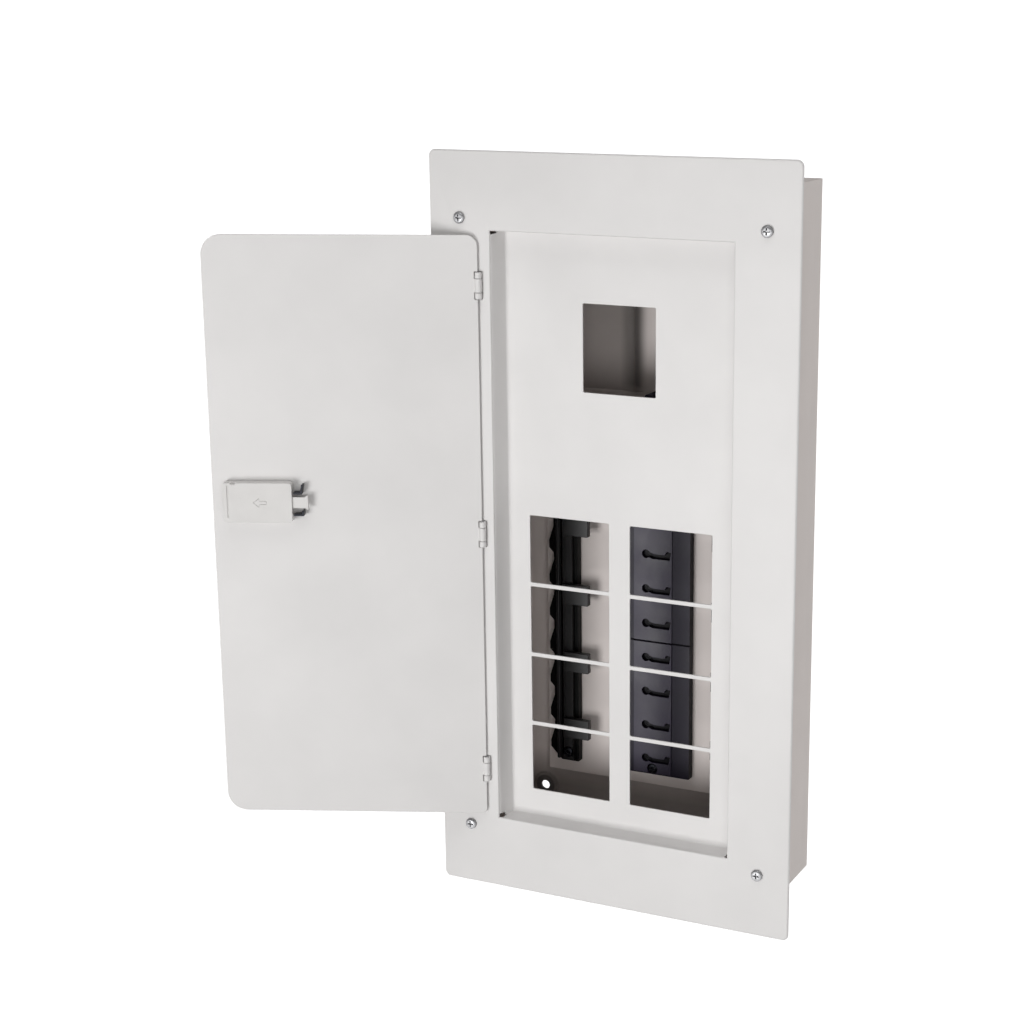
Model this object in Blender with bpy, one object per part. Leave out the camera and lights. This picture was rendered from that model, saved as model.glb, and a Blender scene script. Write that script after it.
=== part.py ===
"""Residential load center: flush steel enclosure, trim with a hinged door, dead front and plug-on interior.

Metres, +Z up. The object faces -Y. The origin is the centre of the enclosure's back, where it meets the wall,
so the trim's front face lies at y = -DEPTH. The door is drawn closed and turned open by its parent empty.
"""

import math

import bmesh
import bpy
from mathutils import Matrix, Vector

MM = 0.001

# Driving dimensions, in millimetres. y is measured back from the trim's front face and shifted once, in MM space.
DEPTH = 88.9  # trim face to wall: a 3 1/2 in stud bay
SHEET = 1.2  # trim, door and dead-front gauge
BOX_GAUGE = 1.5
GAP = 0.3  # between two pieces that are held together

TRIM_W, TRIM_H = 264.4, 520.0
TRIM_FLANGE = 1.6
TRIM_BEND = 1.4
TRIM_CORNER = 4.5
OPEN_W, OPEN_H = 174.4, 415.2
RECESS = 16.0
DRAFT = 3.2  # how far the recess's side walls lean inwards by the time they reach the plate

BOX_W, BOX_H = 228.6, 484.6
BOX_FRONT = SHEET + GAP
LIP = 11.5

POLE = 25.4
WINDOW_X = (7.8, 67.8)
WINDOW_TOP = 12.4
WINDOW_H = 48.0
MAIN_WINDOW = (-26.5, 26.5, 101.2, 161.0)

AXIS_X, AXIS_Y = -94.9, -2.0
HINGE_Z = (171.2, 0.0, -171.2)
KNUCKLE_R, PIN_R, BORE_R = 2.4, 1.2, 1.25
KNUCKLE_LONG = 18.0
DOOR_OPEN = 157.4
DOOR_EDGE = 0.4  # hinge edge, measured from the axis
DOOR_REACH = 186.0  # free edge, measured from the axis
DOOR_HALF = 204.8
DOOR_FRONT = -3.1

LATCH_Z = 23.0
LATCH_H = 27.6
LATCH_S = (129.5, 176.7)  # housing, measured from the axis
LATCH_THROW = 9.0

SCREW_X, SCREW_Z = 109.4, 215.6

PAN_Y = 80.0
BASE_FRONT = 72.0
BASE_HALF = 28.2
RAIL_X = (59.6, 82.4)

for leftover in list(bpy.data.objects):
    bpy.data.objects.remove(leftover)

scene = bpy.context.scene
scene.unit_settings.system = "METRIC"
parts = bpy.data.collections.new("residential_load_center")
cutters = bpy.data.collections.new("cutters")
scene.collection.children.link(parts)
scene.collection.children.link(cutters)
cutters.hide_render = True


# ---------------------------------------------------------------- materials


def finish(name, colour, metallic=0.0, rough=0.5):
    made = bpy.data.materials.new(name)
    made.use_nodes = True
    shader = made.node_tree.nodes["Principled BSDF"]
    shader.inputs["Base Color"].default_value = (*colour, 1.0)
    shader.inputs["Metallic"].default_value = metallic
    shader.inputs["Roughness"].default_value = rough
    made.diffuse_color = (*colour, 1.0)
    return made


FINISH = {
    "white_enamel": finish("white_enamel", (0.76, 0.75, 0.73), rough=0.42),
    "box_enamel": finish("box_enamel", (0.62, 0.60, 0.57), rough=0.5),
    "pan_enamel": finish("pan_enamel", (0.66, 0.64, 0.61), rough=0.5),
    "zinc": finish("zinc", (0.62, 0.63, 0.65), metallic=1.0, rough=0.32),
    "black_moulding": finish("black_moulding", (0.03, 0.028, 0.034), rough=0.45),
    "spring_steel": finish("spring_steel", (0.08, 0.08, 0.085), metallic=1.0, rough=0.4),
    "tinned_bus": finish("tinned_bus", (0.70, 0.70, 0.69), metallic=1.0, rough=0.3),
    "aluminium_bar": finish("aluminium_bar", (0.75, 0.75, 0.76), metallic=1.0, rough=0.38),
    "latch_plastic": finish("latch_plastic", (0.74, 0.74, 0.73), rough=0.5),
    "insulator": finish("insulator", (0.55, 0.53, 0.47), rough=0.6),
    "green_screw": finish("green_screw", (0.05, 0.30, 0.12), metallic=0.5, rough=0.4),
}


# ---------------------------------------------------------------- helpers


def new_object(name, mesh, slot=None, parent=None):
    """A cutter if slot is None, otherwise a part with that finish."""
    made = bpy.data.objects.new(name, mesh)
    (parts if slot else cutters).objects.link(made)
    if slot:
        mesh.materials.append(FINISH[slot])
    else:
        made.hide_render = True
        made.display_type = "WIRE"
    made.parent = parent
    return made


def from_bmesh(name, bm, slot=None, parent=None):
    bmesh.ops.recalc_face_normals(bm, faces=bm.faces)
    mesh = bpy.data.meshes.new(name)
    bm.to_mesh(mesh)
    bm.free()
    return new_object(name, mesh, slot, parent)


def point(x, y, z):
    """Millimetres from the trim's front face, as metres from the wall."""
    return Vector((x * MM, (y - DEPTH) * MM, z * MM))


def add_box(bm, x, y, z):
    """A block between the two values of each pair."""
    corners = [bm.verts.new(point(px, py, pz)) for px in sorted(x) for py in sorted(y) for pz in sorted(z)]
    for loop in ((0, 1, 3, 2), (4, 6, 7, 5), (0, 4, 5, 1), (2, 3, 7, 6), (0, 2, 6, 4), (1, 5, 7, 3)):
        bm.faces.new([corners[i] for i in loop])


def add_tube(bm, centre, direction, length, outer, inner=0.0, sides=16, top_outer=None):
    """A cylinder, cone or ring that starts at centre and runs along direction."""
    along = Vector(direction).normalized()
    across = along.orthogonal().normalized()
    other = along.cross(across)
    start = point(*centre)

    def ring(radius, at):
        turn = (2 * math.pi * (i + 0.5) / sides for i in range(sides))
        spots = [across * math.cos(a) * radius * MM + other * math.sin(a) * radius * MM for a in turn]
        return [bm.verts.new(start + along * at * MM + spot) for spot in spots]

    top = outer if top_outer is None else top_outer
    low, high = ring(outer, 0), ring(top, length)
    rings = [low, high]
    if inner:
        rings += [ring(inner, length), ring(inner, 0)]
    pairs = list(zip(rings, rings[1:])) + ([(rings[-1], rings[0])] if inner else [])
    for a, b in pairs:
        for i in range(sides):
            j = (i + 1) % sides
            bm.faces.new((a[i], a[j], b[j], b[i]))
    if not inner:
        bm.faces.new(low[::-1])
        bm.faces.new(high)


def add_prism(bm, outline, spread, axis="z"):
    """An outline of (x, y) pairs drawn out along z, or of (x, z) pairs drawn out along y."""
    def spot(a, b, c):
        return point(a, b, c) if axis == "z" else point(a, c, b)

    low = [bm.verts.new(spot(a, b, spread[0])) for a, b in outline]
    high = [bm.verts.new(spot(a, b, spread[1])) for a, b in outline]
    count = len(outline)
    for i in range(count):
        j = (i + 1) % count
        bm.faces.new((low[i], low[j], high[j], high[i]))
    bm.faces.new(low[::-1])
    bm.faces.new(high)


def boxes(name, spans, slot=None, parent=None):
    bm = bmesh.new()
    for x, y, z in spans:
        add_box(bm, x, y, z)
    return from_bmesh(name, bm, slot, parent)


def tubes(name, rows, slot=None, parent=None):
    bm = bmesh.new()
    for row in rows:
        add_tube(bm, **row)
    return from_bmesh(name, bm, slot, parent)


def prism(name, outline, spread, axis="z", slot=None, parent=None):
    bm = bmesh.new()
    add_prism(bm, outline, spread, axis)
    return from_bmesh(name, bm, slot, parent)


def boolean(target, tool, operation):
    step = target.modifiers.new(f"{operation.lower()} {tool.name}", "BOOLEAN")
    step.operation = operation
    step.solver = "EXACT"
    step.object = tool
    tool.parent = target.parent


def cut(target, *tools):
    for tool in tools:
        boolean(target, tool, "DIFFERENCE")


def fuse(target, *tools):
    for tool in tools:
        boolean(target, tool, "UNION")


def rounded(half_x, half_z, radius, steps=4, centre=(0.0, 0.0)):
    """Corner-rounded rectangle as (x, z) pairs. radius is one value, or four from the top right, turning left."""
    radii = radius if isinstance(radius, tuple) else (radius,) * 4
    found = []
    for quarter, r in enumerate(radii):
        sx = 1 if quarter in (0, 3) else -1
        sz = 1 if quarter in (0, 1) else -1
        for i in range(steps + 1):
            turn = math.radians(90 * quarter + 90 * i / steps)
            found.append((centre[0] + sx * (half_x - r) + r * math.cos(turn),
                          centre[1] + sz * (half_z - r) + r * math.sin(turn)))
    return found


def screw(name, x, z, head_y, slot="zinc", head_r=4.2, head_h=2.2, shank_r=1.9, shank=8.0, parent=None,
          direction=-1, drive="cross"):
    """A pan-head screw along y. Its head sits in front of head_y and the shank runs back from there."""
    bm = bmesh.new()
    base = (x, head_y, z)
    add_tube(bm, base, (0, direction, 0), head_h * 0.45, head_r, sides=12)
    made = from_bmesh(name, bm, slot, parent)
    dome = tubes(f"{name}.dome", [dict(centre=(x, head_y + direction * head_h * 0.44, z), direction=(0, direction, 0),
                                       length=head_h * 0.56, outer=head_r, top_outer=head_r * 0.62, sides=12)])
    stem = tubes(f"{name}.stem", [dict(centre=(x, head_y + direction * 0.2, z), direction=(0, -direction, 0),
                                       length=shank + 0.2, outer=shank_r, sides=8)])
    fuse(made, dome, stem)
    top = head_y + direction * head_h
    arm = head_r * (0.55 if drive == "cross" else 1.4)
    span_y = (top - direction * 1.0, top + direction * 0.5)
    slots = [boxes(f"{name}.slot_a", [((x - arm, x + arm), span_y, (z - 0.45, z + 0.45))])]
    if drive == "cross":
        slots.append(boxes(f"{name}.slot_b", [((x - 0.45, x + 0.45), span_y, (z - arm, z + arm))]))
    cut(made, *slots)
    return made


# ---------------------------------------------------------------- enclosure


def build_box():
    half_x, half_z = BOX_W / 2, BOX_H / 2
    inner_x, inner_z = half_x - BOX_GAUGE, half_z - BOX_GAUGE
    back = DEPTH - BOX_GAUGE
    box = boxes("back_box", [((-half_x, half_x), (BOX_FRONT, DEPTH), (-half_z, half_z))], "box_enamel")
    cavity = boxes("box.cavity", [((-inner_x, inner_x), (BOX_FRONT + BOX_GAUGE, back), (-inner_z, inner_z))])
    mouth = boxes("box.mouth", [((-half_x + LIP, half_x - LIP), (0, BOX_FRONT + 4), (-half_z + LIP, half_z - LIP))])
    cut(box, cavity, mouth)

    # Raised pads stand round the four wall-screw holes.
    spots = [(sx * 93.8, sz * 214.3) for sx in (-1, 1) for sz in (-1, 1)]
    pads = tubes("box.pads", [dict(centre=(x, back + 0.4, z), direction=(0, -1, 0), length=1.6, outer=10.0,
                                   top_outer=7.5, sides=16) for x, z in spots])
    fuse(box, pads)
    holes = [dict(centre=(x, back - 6, z), direction=(0, 1, 0), length=12, outer=3.3, sides=12) for x, z in spots]
    # Tapped holes for the trim screws.
    for side in (-1, 1):
        for top in (-1, 1):
            holes.append(dict(centre=(side * SCREW_X, 0, top * SCREW_Z), direction=(0, 1, 0), length=5,
                              outer=2.05, sides=10))
    cut(box, tubes("box.holes", holes))

    # Knockouts are half-sheared discs: a groove on the outside marks each one.
    rings = []

    def knockout(centre, direction, radius):
        rings.append(dict(centre=centre, direction=direction, length=1.6, outer=radius, inner=radius - 0.8, sides=16))

    for top in (-1, 1):
        for x, radius in ((-82, 11.1), (-46, 14.0), (0, 20.0), (46, 14.0), (82, 11.1)):
            knockout((x, 46, top * (half_z - 0.6)), (0, 0, top), radius)
    for x in (-40, 40):
        knockout((x, DEPTH - 0.6, 205), (0, 1, 0), 11.1)
    cut(box, tubes("box.knockouts", rings))
    return box


# ---------------------------------------------------------------- trim and dead front


def build_trim():
    """A flat sheet whose outer edge is rolled just over, lofted as closed rings."""
    steps = 5
    half_x, half_z = TRIM_W / 2, TRIM_H / 2

    def outer_ring(inset, y):
        radius = max(TRIM_CORNER - inset, 1.5)
        return [(x, y, z) for x, z in rounded(half_x - inset, half_z - inset, radius, steps)]

    def opening_ring(y):
        hx, hz = OPEN_W / 2, OPEN_H / 2
        corners = ((hx, hz), (-hx, hz), (-hx, -hz), (hx, -hz))
        return [(*corner[:1], y, corner[1]) for corner in corners]

    skin, lining = [(0.0, TRIM_FLANGE)], [(SHEET, TRIM_FLANGE)]
    for i in range(5):
        turn = math.radians(90 * i / 4)
        skin.append((TRIM_BEND * (1 - math.cos(turn)), TRIM_BEND * (1 - math.sin(turn))))
        inner = TRIM_BEND - SHEET
        lining.append((TRIM_BEND - inner * math.cos(turn), TRIM_BEND - inner * math.sin(turn)))
    bm = bmesh.new()
    front = [[bm.verts.new(point(*p)) for p in outer_ring(*at)] for at in skin]
    rear = [[bm.verts.new(point(*p)) for p in outer_ring(*at)] for at in lining]
    mouth_front = [bm.verts.new(point(*p)) for p in opening_ring(0.0)]
    mouth_rear = [bm.verts.new(point(*p)) for p in opening_ring(SHEET)]
    count = len(front[0])

    def band(a, b):
        for i in range(count):
            j = (i + 1) % count
            bm.faces.new((a[i], a[j], b[j], b[i]))

    for layers in (front, rear):
        for a, b in zip(layers, layers[1:]):
            band(a, b)
    band(front[0], rear[0])
    for ring, mouth in ((front[-1], mouth_front), (rear[-1], mouth_rear)):
        for quarter in range(4):
            fan = ring[quarter * (steps + 1):(quarter + 1) * (steps + 1)]
            for a, b in zip(fan, fan[1:]):
                bm.faces.new((a, b, mouth[quarter]))
            following = ring[((quarter + 1) * (steps + 1)) % count]
            bm.faces.new((fan[-1], following, mouth[(quarter + 1) % 4], mouth[quarter]))
    for i in range(4):
        j = (i + 1) % 4
        bm.faces.new((mouth_front[i], mouth_front[j], mouth_rear[j], mouth_rear[i]))
    trim = from_bmesh("trim_frame", bm, "white_enamel")

    slots = boxes("trim.hinge_slots", [((AXIS_X - 2.1, AXIS_X + 1.9), (-2, 3), (z - 9.4, z + 9.4)) for z in HINGE_Z])
    holes = tubes("trim.screw_holes", [dict(centre=(sx * SCREW_X, -2, sz * SCREW_Z), direction=(0, 1, 0), length=5,
                                            outer=2.4, sides=12) for sx in (-1, 1) for sz in (-1, 1)])
    cut(trim, slots, holes)
    return trim


def window_boxes():
    """The eight two-pole breaker windows, as (x, z) spans."""
    for side in (-1, 1):
        for row in range(4):
            top = WINDOW_TOP - row * 2 * POLE
            yield sorted((side * WINDOW_X[0], side * WINDOW_X[1])), (top - WINDOW_H, top)


def build_dead_front():
    """Recess walls, dead-front plate and a flange behind the trim, from one sheet."""
    hx, hz = OPEN_W / 2, OPEN_H / 2
    front = SHEET + GAP
    foot = RECESS + SHEET
    lean = DRAFT / RECESS
    outside = [(-hx - SHEET + lean * front, front), (hx + SHEET - lean * front, front),
               (hx + SHEET - lean * foot, foot), (-hx - SHEET + lean * foot, foot)]
    pan = prism("dead_front", outside, (-hz - SHEET, hz + SHEET), slot="white_enamel")
    flange = boxes("dead_front.flange", [((-hx - 11.5, hx + 11.5), (front, front + SHEET), (-hz - 11.5, hz + 11.5))])
    fuse(pan, flange)
    recess = prism("dead_front.recess", [(-hx, 0), (hx, 0), (hx - DRAFT, RECESS), (-hx + DRAFT, RECESS)], (-hz, hz))
    windows = [(x, (RECESS - 3, RECESS + 5), z) for x, z in window_boxes()]
    windows.append((MAIN_WINDOW[:2], (RECESS - 3, RECESS + 5), MAIN_WINDOW[2:]))
    clearance = [((AXIS_X - 8, -hx - SHEET - 0.01), (front - 1, front + 4), (z - 12, z + 12)) for z in HINGE_Z]
    strike = ((hx - 4, hx + 20), (front - 1, 9.0), (LATCH_Z - 14, LATCH_Z + 14))
    cut(pan, recess, boxes("dead_front.windows", windows), boxes("dead_front.notches", clearance),
        boxes("dead_front.strike", [strike]))
    # The sheet is relieved at the front corners, where two walls meet the flange.
    relief = tubes("dead_front.relief", [dict(centre=(sx * (hx + 0.1), 1.3, sz * (hz + 0.1)),
                                              direction=(0, 1, 0), length=6.5, outer=2.4, sides=12)
                                         for sx in (-1, 1) for sz in (-1, 1)])
    cut(pan, relief)
    return pan


# ---------------------------------------------------------------- door, hinges and latch


def joint_empty(name, location, parent=None):
    made = bpy.data.objects.new(name, None)
    made.empty_display_size = 0.02
    made.location = location
    made.parent = parent
    parts.objects.link(made)
    return made


def on_axis(made, empty):
    """Hangs a piece that was drawn in the closed position on the joint's empty."""
    made.parent = empty
    made.matrix_parent_inverse = Matrix.Translation(-point(AXIS_X, AXIS_Y, 0))


def build_door():
    edge, free = AXIS_X + DOOR_EDGE, AXIS_X + DOOR_REACH
    middle, half = (edge + free) / 2, (free - edge) / 2
    radii = (14.0, 8.0, 4.0, 14.0)
    outline = rounded(half, DOOR_HALF, radii, 6, (middle, 0))
    inner_face = DOOR_FRONT + SHEET
    door = prism("door_panel", outline, (DOOR_FRONT, inner_face), "y", "white_enamel")
    knuckles = KNUCKLE_LONG / 2
    notches = boxes("door.notches", [((AXIS_X - 4, AXIS_X + 2.9), (DOOR_FRONT - 2, 3), (z - knuckles - 0.4,
                                                                                       z + knuckles + 0.4))
                                     for z in HINGE_Z])
    cut(door, notches)
    # The middle knuckle of each hinge is rolled from the door's own edge.
    webs = boxes("door.webs", [((AXIS_X + 1.4, AXIS_X + 3.6), (DOOR_FRONT, inner_face), (z - 4.6, z + 4.6))
                               for z in HINGE_Z])
    rolls = tubes("door.rolls", [dict(centre=(AXIS_X, AXIS_Y, z - 4.6), direction=(0, 0, 1), length=9.2,
                                      outer=KNUCKLE_R) for z in HINGE_Z])
    fuse(door, webs, rolls)
    bores = tubes("door.bores", [dict(centre=(AXIS_X, AXIS_Y, z - 6), direction=(0, 0, 1), length=12, outer=BORE_R,
                                      sides=12) for z in HINGE_Z])
    pull = boxes("door.pull_slot", [((AXIS_X + 138, AXIS_X + 168), (DOOR_FRONT - 2, inner_face + 2),
                                     (LATCH_Z - 8.5, LATCH_Z + 8.5))])
    cut(door, bores, pull)
    return door


def build_hinge(place, z):
    """Frame leaf with its two outer knuckles, and the pin."""
    half = KNUCKLE_LONG / 2
    leaf = boxes(f"hinge_leaf_{place}", [((-BOX_W / 2 + LIP + GAP, AXIS_X + 1.4), (BOX_FRONT, BOX_FRONT + 1.0), (z - half, z + half))],
                 "white_enamel")
    webs, rolls = [], []
    for low in (z - half, z + 4.9):
        webs.append(((AXIS_X - 1.6, AXIS_X + 1.4), (AXIS_Y, BOX_FRONT + 0.6), (low, low + half - 4.9)))
        rolls.append(dict(centre=(AXIS_X, AXIS_Y, low), direction=(0, 0, 1), length=half - 4.9, outer=KNUCKLE_R))
    fuse(leaf, boxes(f"{place}.webs", webs), tubes(f"{place}.rolls", rolls))
    cut(leaf, tubes(f"{place}.bore", [dict(centre=(AXIS_X, AXIS_Y, z - half - 1), direction=(0, 0, 1),
                                           length=KNUCKLE_LONG + 2, outer=BORE_R, sides=12)]))
    tubes(f"hinge_pin_{place}", [dict(centre=(AXIS_X, AXIS_Y, z - half - 0.4), direction=(0, 0, 1),
                                      length=KNUCKLE_LONG + 0.8, outer=PIN_R, sides=12)], "zinc")


def build_latch():
    """Housing on the door's inside, the sliding bolt with its thumb grip, and two detent springs."""
    inner = DOOR_FRONT + SHEET
    s0, s1 = (AXIS_X + s for s in LATCH_S)
    low, high = LATCH_Z - LATCH_H / 2, LATCH_Z + LATCH_H / 2
    housing = boxes("latch_housing", [((s0, s1), (inner + GAP, 6.6), (low, high))], "latch_plastic")
    tunnel = boxes("latch.tunnel", [((s0 - 2, s1 + 2), (inner - 1, 5.4), (LATCH_Z - 8.6, LATCH_Z + 8.6))])
    groove = boxes("latch.groove", [((s1 - 3.4, s1 - 2.6), (6.1, 8), (low + 3, high - 2))])
    notch = boxes("latch.notch", [((s1 - 8.5, s1 - 5.0), (3.5, 8), (high - 1.2, high + 1))])
    cut(housing, tunnel, groove, notch)

    tail, tip = AXIS_X + 118.7, AXIS_X + 175.6
    bolt = boxes("latch_bolt", [((s0 + 0.6, tip), (2.4, 5.1), (LATCH_Z - 8.2, LATCH_Z + 8.2))], "latch_plastic")
    tongue = prism("latch.tongue", [(tail, LATCH_Z - 5.2), (tail + 2.4, LATCH_Z - 3.8),
                                    (s0 + 2, LATCH_Z - 3.8), (s0 + 2, LATCH_Z + 3.8), (tail + 2.4, LATCH_Z + 3.8), (tail, LATCH_Z + 5.2)],
                   (2.4, 5.1), "y")
    grip = boxes("latch.grip", [((AXIS_X + 140, AXIS_X + 157), (-6.2, 3.0), (LATCH_Z - 7.5, LATCH_Z + 7.5))])
    fuse(bolt, tongue, grip)
    ramp = prism("latch.ramp", [(tip - 3.0, 5.6), (tip + 0.5, 5.6), (tip + 0.5, 3.6), (tip, 3.6)],
                 (LATCH_Z - 12, LATCH_Z + 12), "z")
    ribs = boxes("latch.ribs", [((AXIS_X + s, AXIS_X + s + 1.3), (-7, -5.4), (LATCH_Z - 9, LATCH_Z + 9))
                                for s in (143, 146.5, 150, 153.5)])
    cut(bolt, ramp, ribs)

    springs = []
    for place, sign in (("upper", 1), ("lower", -1)):
        path = [(s0 + 0.6, 9.6), (tail + 4.4, 9.6), (tail + 4.4, 5.6), (tail + 5.8, 5.6), (tail + 5.8, 8.2),
                (s0 + 0.6, 8.2)] if sign < 0 else \
               [(s0 + 0.6, 5.6), (tail + 5.4, 5.6), (tail + 4.4, 12.4), (tail + 5.8, 12.4), (tail + 6.7, 7.0),
                (s0 + 0.6, 7.0)]
        outline = [(x - 1.2, LATCH_Z + sign * dz) for x, dz in path]
        springs.append(prism(f"latch_spring_{place}", outline, (inner + GAP, 4.6), "y", "spring_steel"))
    return housing, bolt, springs


# ---------------------------------------------------------------- interior


def build_interior_pan():
    """Steel pan that carries the bus and the breaker rails, with a neck behind the main breaker."""
    pan = boxes("interior_pan", [((-87, 87), (PAN_Y, PAN_Y + SHEET), (-197, 92))], "pan_enamel")
    # The neck's sides roll back towards the enclosure.
    turns = [math.radians(60 * i / 5) for i in range(6)]
    rim = [(10 + 13 * math.sin(t), PAN_Y + 13 * (1 - math.cos(t))) for t in turns]
    under = [(10 + (13 - SHEET) * math.sin(t), PAN_Y + 13 - (13 - SHEET) * math.cos(t)) for t in reversed(turns)]
    profile = [(-x, y) for x, y in reversed(rim)] + rim + under + [(-x, y) for x, y in reversed(under)]
    neck = prism("pan.neck", profile, (91, 176))
    feet = [((sx * 87, sx * (87 - SHEET)), (PAN_Y, DEPTH - BOX_GAUGE - GAP), (-197, 92)) for sx in (-1, 1)]
    fuse(pan, neck, boxes("pan.feet", feet))
    holes = [dict(centre=(x, PAN_Y - 3, z), direction=(0, 1, 0), length=8, outer=2.0, sides=10)
             for x, z in pan_screw_spots() + base_screw_spots() + rail_screw_spots()]
    cut(pan, tubes("pan.holes", holes))
    return pan


def pan_screw_spots():
    return [(-45.0, 84.0), (45.0, 84.0), (-28.8, -191.8), (52.0, -191.8)]


def base_screw_spots():
    return [(0.0, 8.0), (0.0, -182.0)]


def rail_screw_spots():
    return [(sx * 66.0, z) for sx in (-1, 1) for z in (30.0, -178.0)]


def build_bus_base():
    """Moulded base: a ridge between two lower steps, a slot for each pole and a barrier between the risers."""
    base = boxes("bus_base", [((-BASE_HALF, BASE_HALF), (BASE_FRONT + 1.0, PAN_Y - GAP), (-186.5, 18))],
                 "black_moulding")
    ridge = boxes("base.ridge", [((-14.7, 14.7), (BASE_FRONT, PAN_Y - GAP - 0.5), (-185.3, 17))])
    barrier = boxes("base.barrier", [((-3, 3), (BASE_FRONT - 8, PAN_Y - GAP), (16, 93.5))])
    fuse(base, ridge, barrier)
    channels = [((sx * 13.4, sx * 25.6), (PAN_Y - 3.4, PAN_Y + 2), (-180, 20)) for sx in (-1, 1)]
    slots, rounds, bars = [], [], []
    for pole in range(8):
        z = WINDOW_TOP - 9.5 - pole * POLE
        rounds.append(dict(centre=(-5.2, BASE_FRONT - 2, z + 0.8), direction=(0, 1, 0), length=5.2, outer=2.7, sides=10))
        slots.append([(-4.5, z + 2.0), (1.0, z + 0.7), (9.6, z + 0.7), (11.4, z + 3.4), (14.0, z + 3.2),
                      (12.4, z - 2.0), (-0.5, z - 2.0), (-6.2, z)])
        if pole == 4:
            bars.append(((-32, 32), (BASE_FRONT - 1, BASE_FRONT + 2.2), (z + 12.2, z + 13.2)))
    bm = bmesh.new()
    for outline in slots:
        add_prism(bm, outline, (BASE_FRONT - 2, BASE_FRONT + 3.0), "y")
    handles = from_bmesh("base.handles", bm)
    cut(base, boxes("base.channels", channels), tubes("base.rounds", rounds), handles, boxes("base.seams", bars))
    holes = [dict(centre=(x, BASE_FRONT - 3, z), direction=(0, 1, 0), length=14, outer=2.1, sides=10)
             for x, z in base_screw_spots()]
    pockets = [dict(centre=(x, BASE_FRONT - 3, z), direction=(0, 1, 0), length=5.4, outer=4.0, sides=12)
               for x, z in base_screw_spots()]
    cut(base, tubes("base.screw_holes", holes), tubes("base.pockets", pockets))
    return base


def build_bus_bar(side):
    """Bar under the base's step, with a riser to the main breaker's place."""
    name = "bus_bar_left" if side < 0 else "bus_bar_right"
    bar = boxes(name, [((side * 14.0, side * 25.0), (PAN_Y - 3.0, PAN_Y - GAP), (-178, 26))], "tinned_bus")
    riser = boxes(f"{name}.riser", [((side * 14.0, side * 25.0), (BASE_FRONT - 4, PAN_Y - GAP), (22, 26))])
    tab = boxes(f"{name}.tab", [((side * 8.0, side * 25.0), (BASE_FRONT - 6, BASE_FRONT - 3), (22, 84))])
    fuse(bar, riser, tab)
    cut(bar, tubes(f"{name}.bolt", [dict(centre=(side * 16.5, BASE_FRONT - 8, 72), direction=(0, 1, 0), length=8,
                                         outer=3.2, sides=14)]))
    return bar


def build_rail(side):
    """Breaker mounting rail: an outer edge scalloped once for each pole and a hook for every second one."""
    name = "breaker_rail_left" if side < 0 else "breaker_rail_right"
    outline = [(RAIL_X[0], 40.0), (RAIL_X[0], -186.5), (RAIL_X[1] - 9, -186.5), (RAIL_X[1], -177.5),
               (RAIL_X[1], -172.5)]
    for pole in range(7, -1, -1):
        z = 25.1 - pole * POLE
        outline += [(RAIL_X[1] - 3.4, z - 9.5), (RAIL_X[1] - 3.4, z - 3.5), (RAIL_X[1], z), (RAIL_X[1], z + 5.6)]
    outline.append((RAIL_X[1] - 3.0, 40.0))
    outline = [(side * x, z) for x, z in outline]
    rail = prism(name, outline, (BASE_FRONT + 1.5, PAN_Y - GAP), "y", "black_moulding")
    ridge = boxes(f"{name}.ridge", [((side * 62, side * 75), (BASE_FRONT - 3, BASE_FRONT + 3), (-184, 38))])
    hooks = []
    for row in range(5):
        z = 51.0 - 6.3 - row * 2 * POLE + 0.2
        hooks.append(((side * 47.5, side * 68), (BASE_FRONT - 7, BASE_FRONT - 2.5), (z - 7.3, z + 7.3)))
    fuse(rail, ridge, boxes(f"{name}.hooks", hooks))
    groove = boxes(f"{name}.groove", [((side * 70.0, side * 72.6), (BASE_FRONT - 9, BASE_FRONT - 1.6), (-190, 45))])
    cut(rail, groove)
    spots = [(x, z) for x, z in rail_screw_spots() if x * side > 0]
    cut(rail,
        tubes(f"{name}.holes", [dict(centre=(x, BASE_FRONT - 9, z), direction=(0, 1, 0), length=22, outer=2.1, sides=10)
                                for x, z in spots]),
        tubes(f"{name}.pockets", [dict(centre=(x, BASE_FRONT - 12, z), direction=(0, 1, 0), length=10.2, outer=3.9,
                                       sides=12) for x, z in spots]))
    return rail


def build_terminal_bar(name, x, z, count, depth, slot, wide=10.0):
    """A bar with a row of wire holes across it and a set screw in front of each."""
    front, back = depth
    bar = boxes(name, [((x - wide / 2, x + wide / 2), (front, back), (z[0], z[1]))], slot)
    pitch = (z[1] - z[0]) / count
    centres = [z[0] + pitch * (i + 0.5) for i in range(count)]
    wires = tubes(f"{name}.wires", [dict(centre=(x - wide, (front + back) / 2 + 0.8, c), direction=(1, 0, 0),
                                         length=2 * wide, outer=2.4, sides=8) for c in centres])
    taps = tubes(f"{name}.taps", [dict(centre=(x, front - 2, c), direction=(0, 1, 0),
                                       length=2 + (back - front) / 2, outer=2.1, sides=8) for c in centres])
    cut(bar, wires, taps)
    return bar, centres


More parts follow.
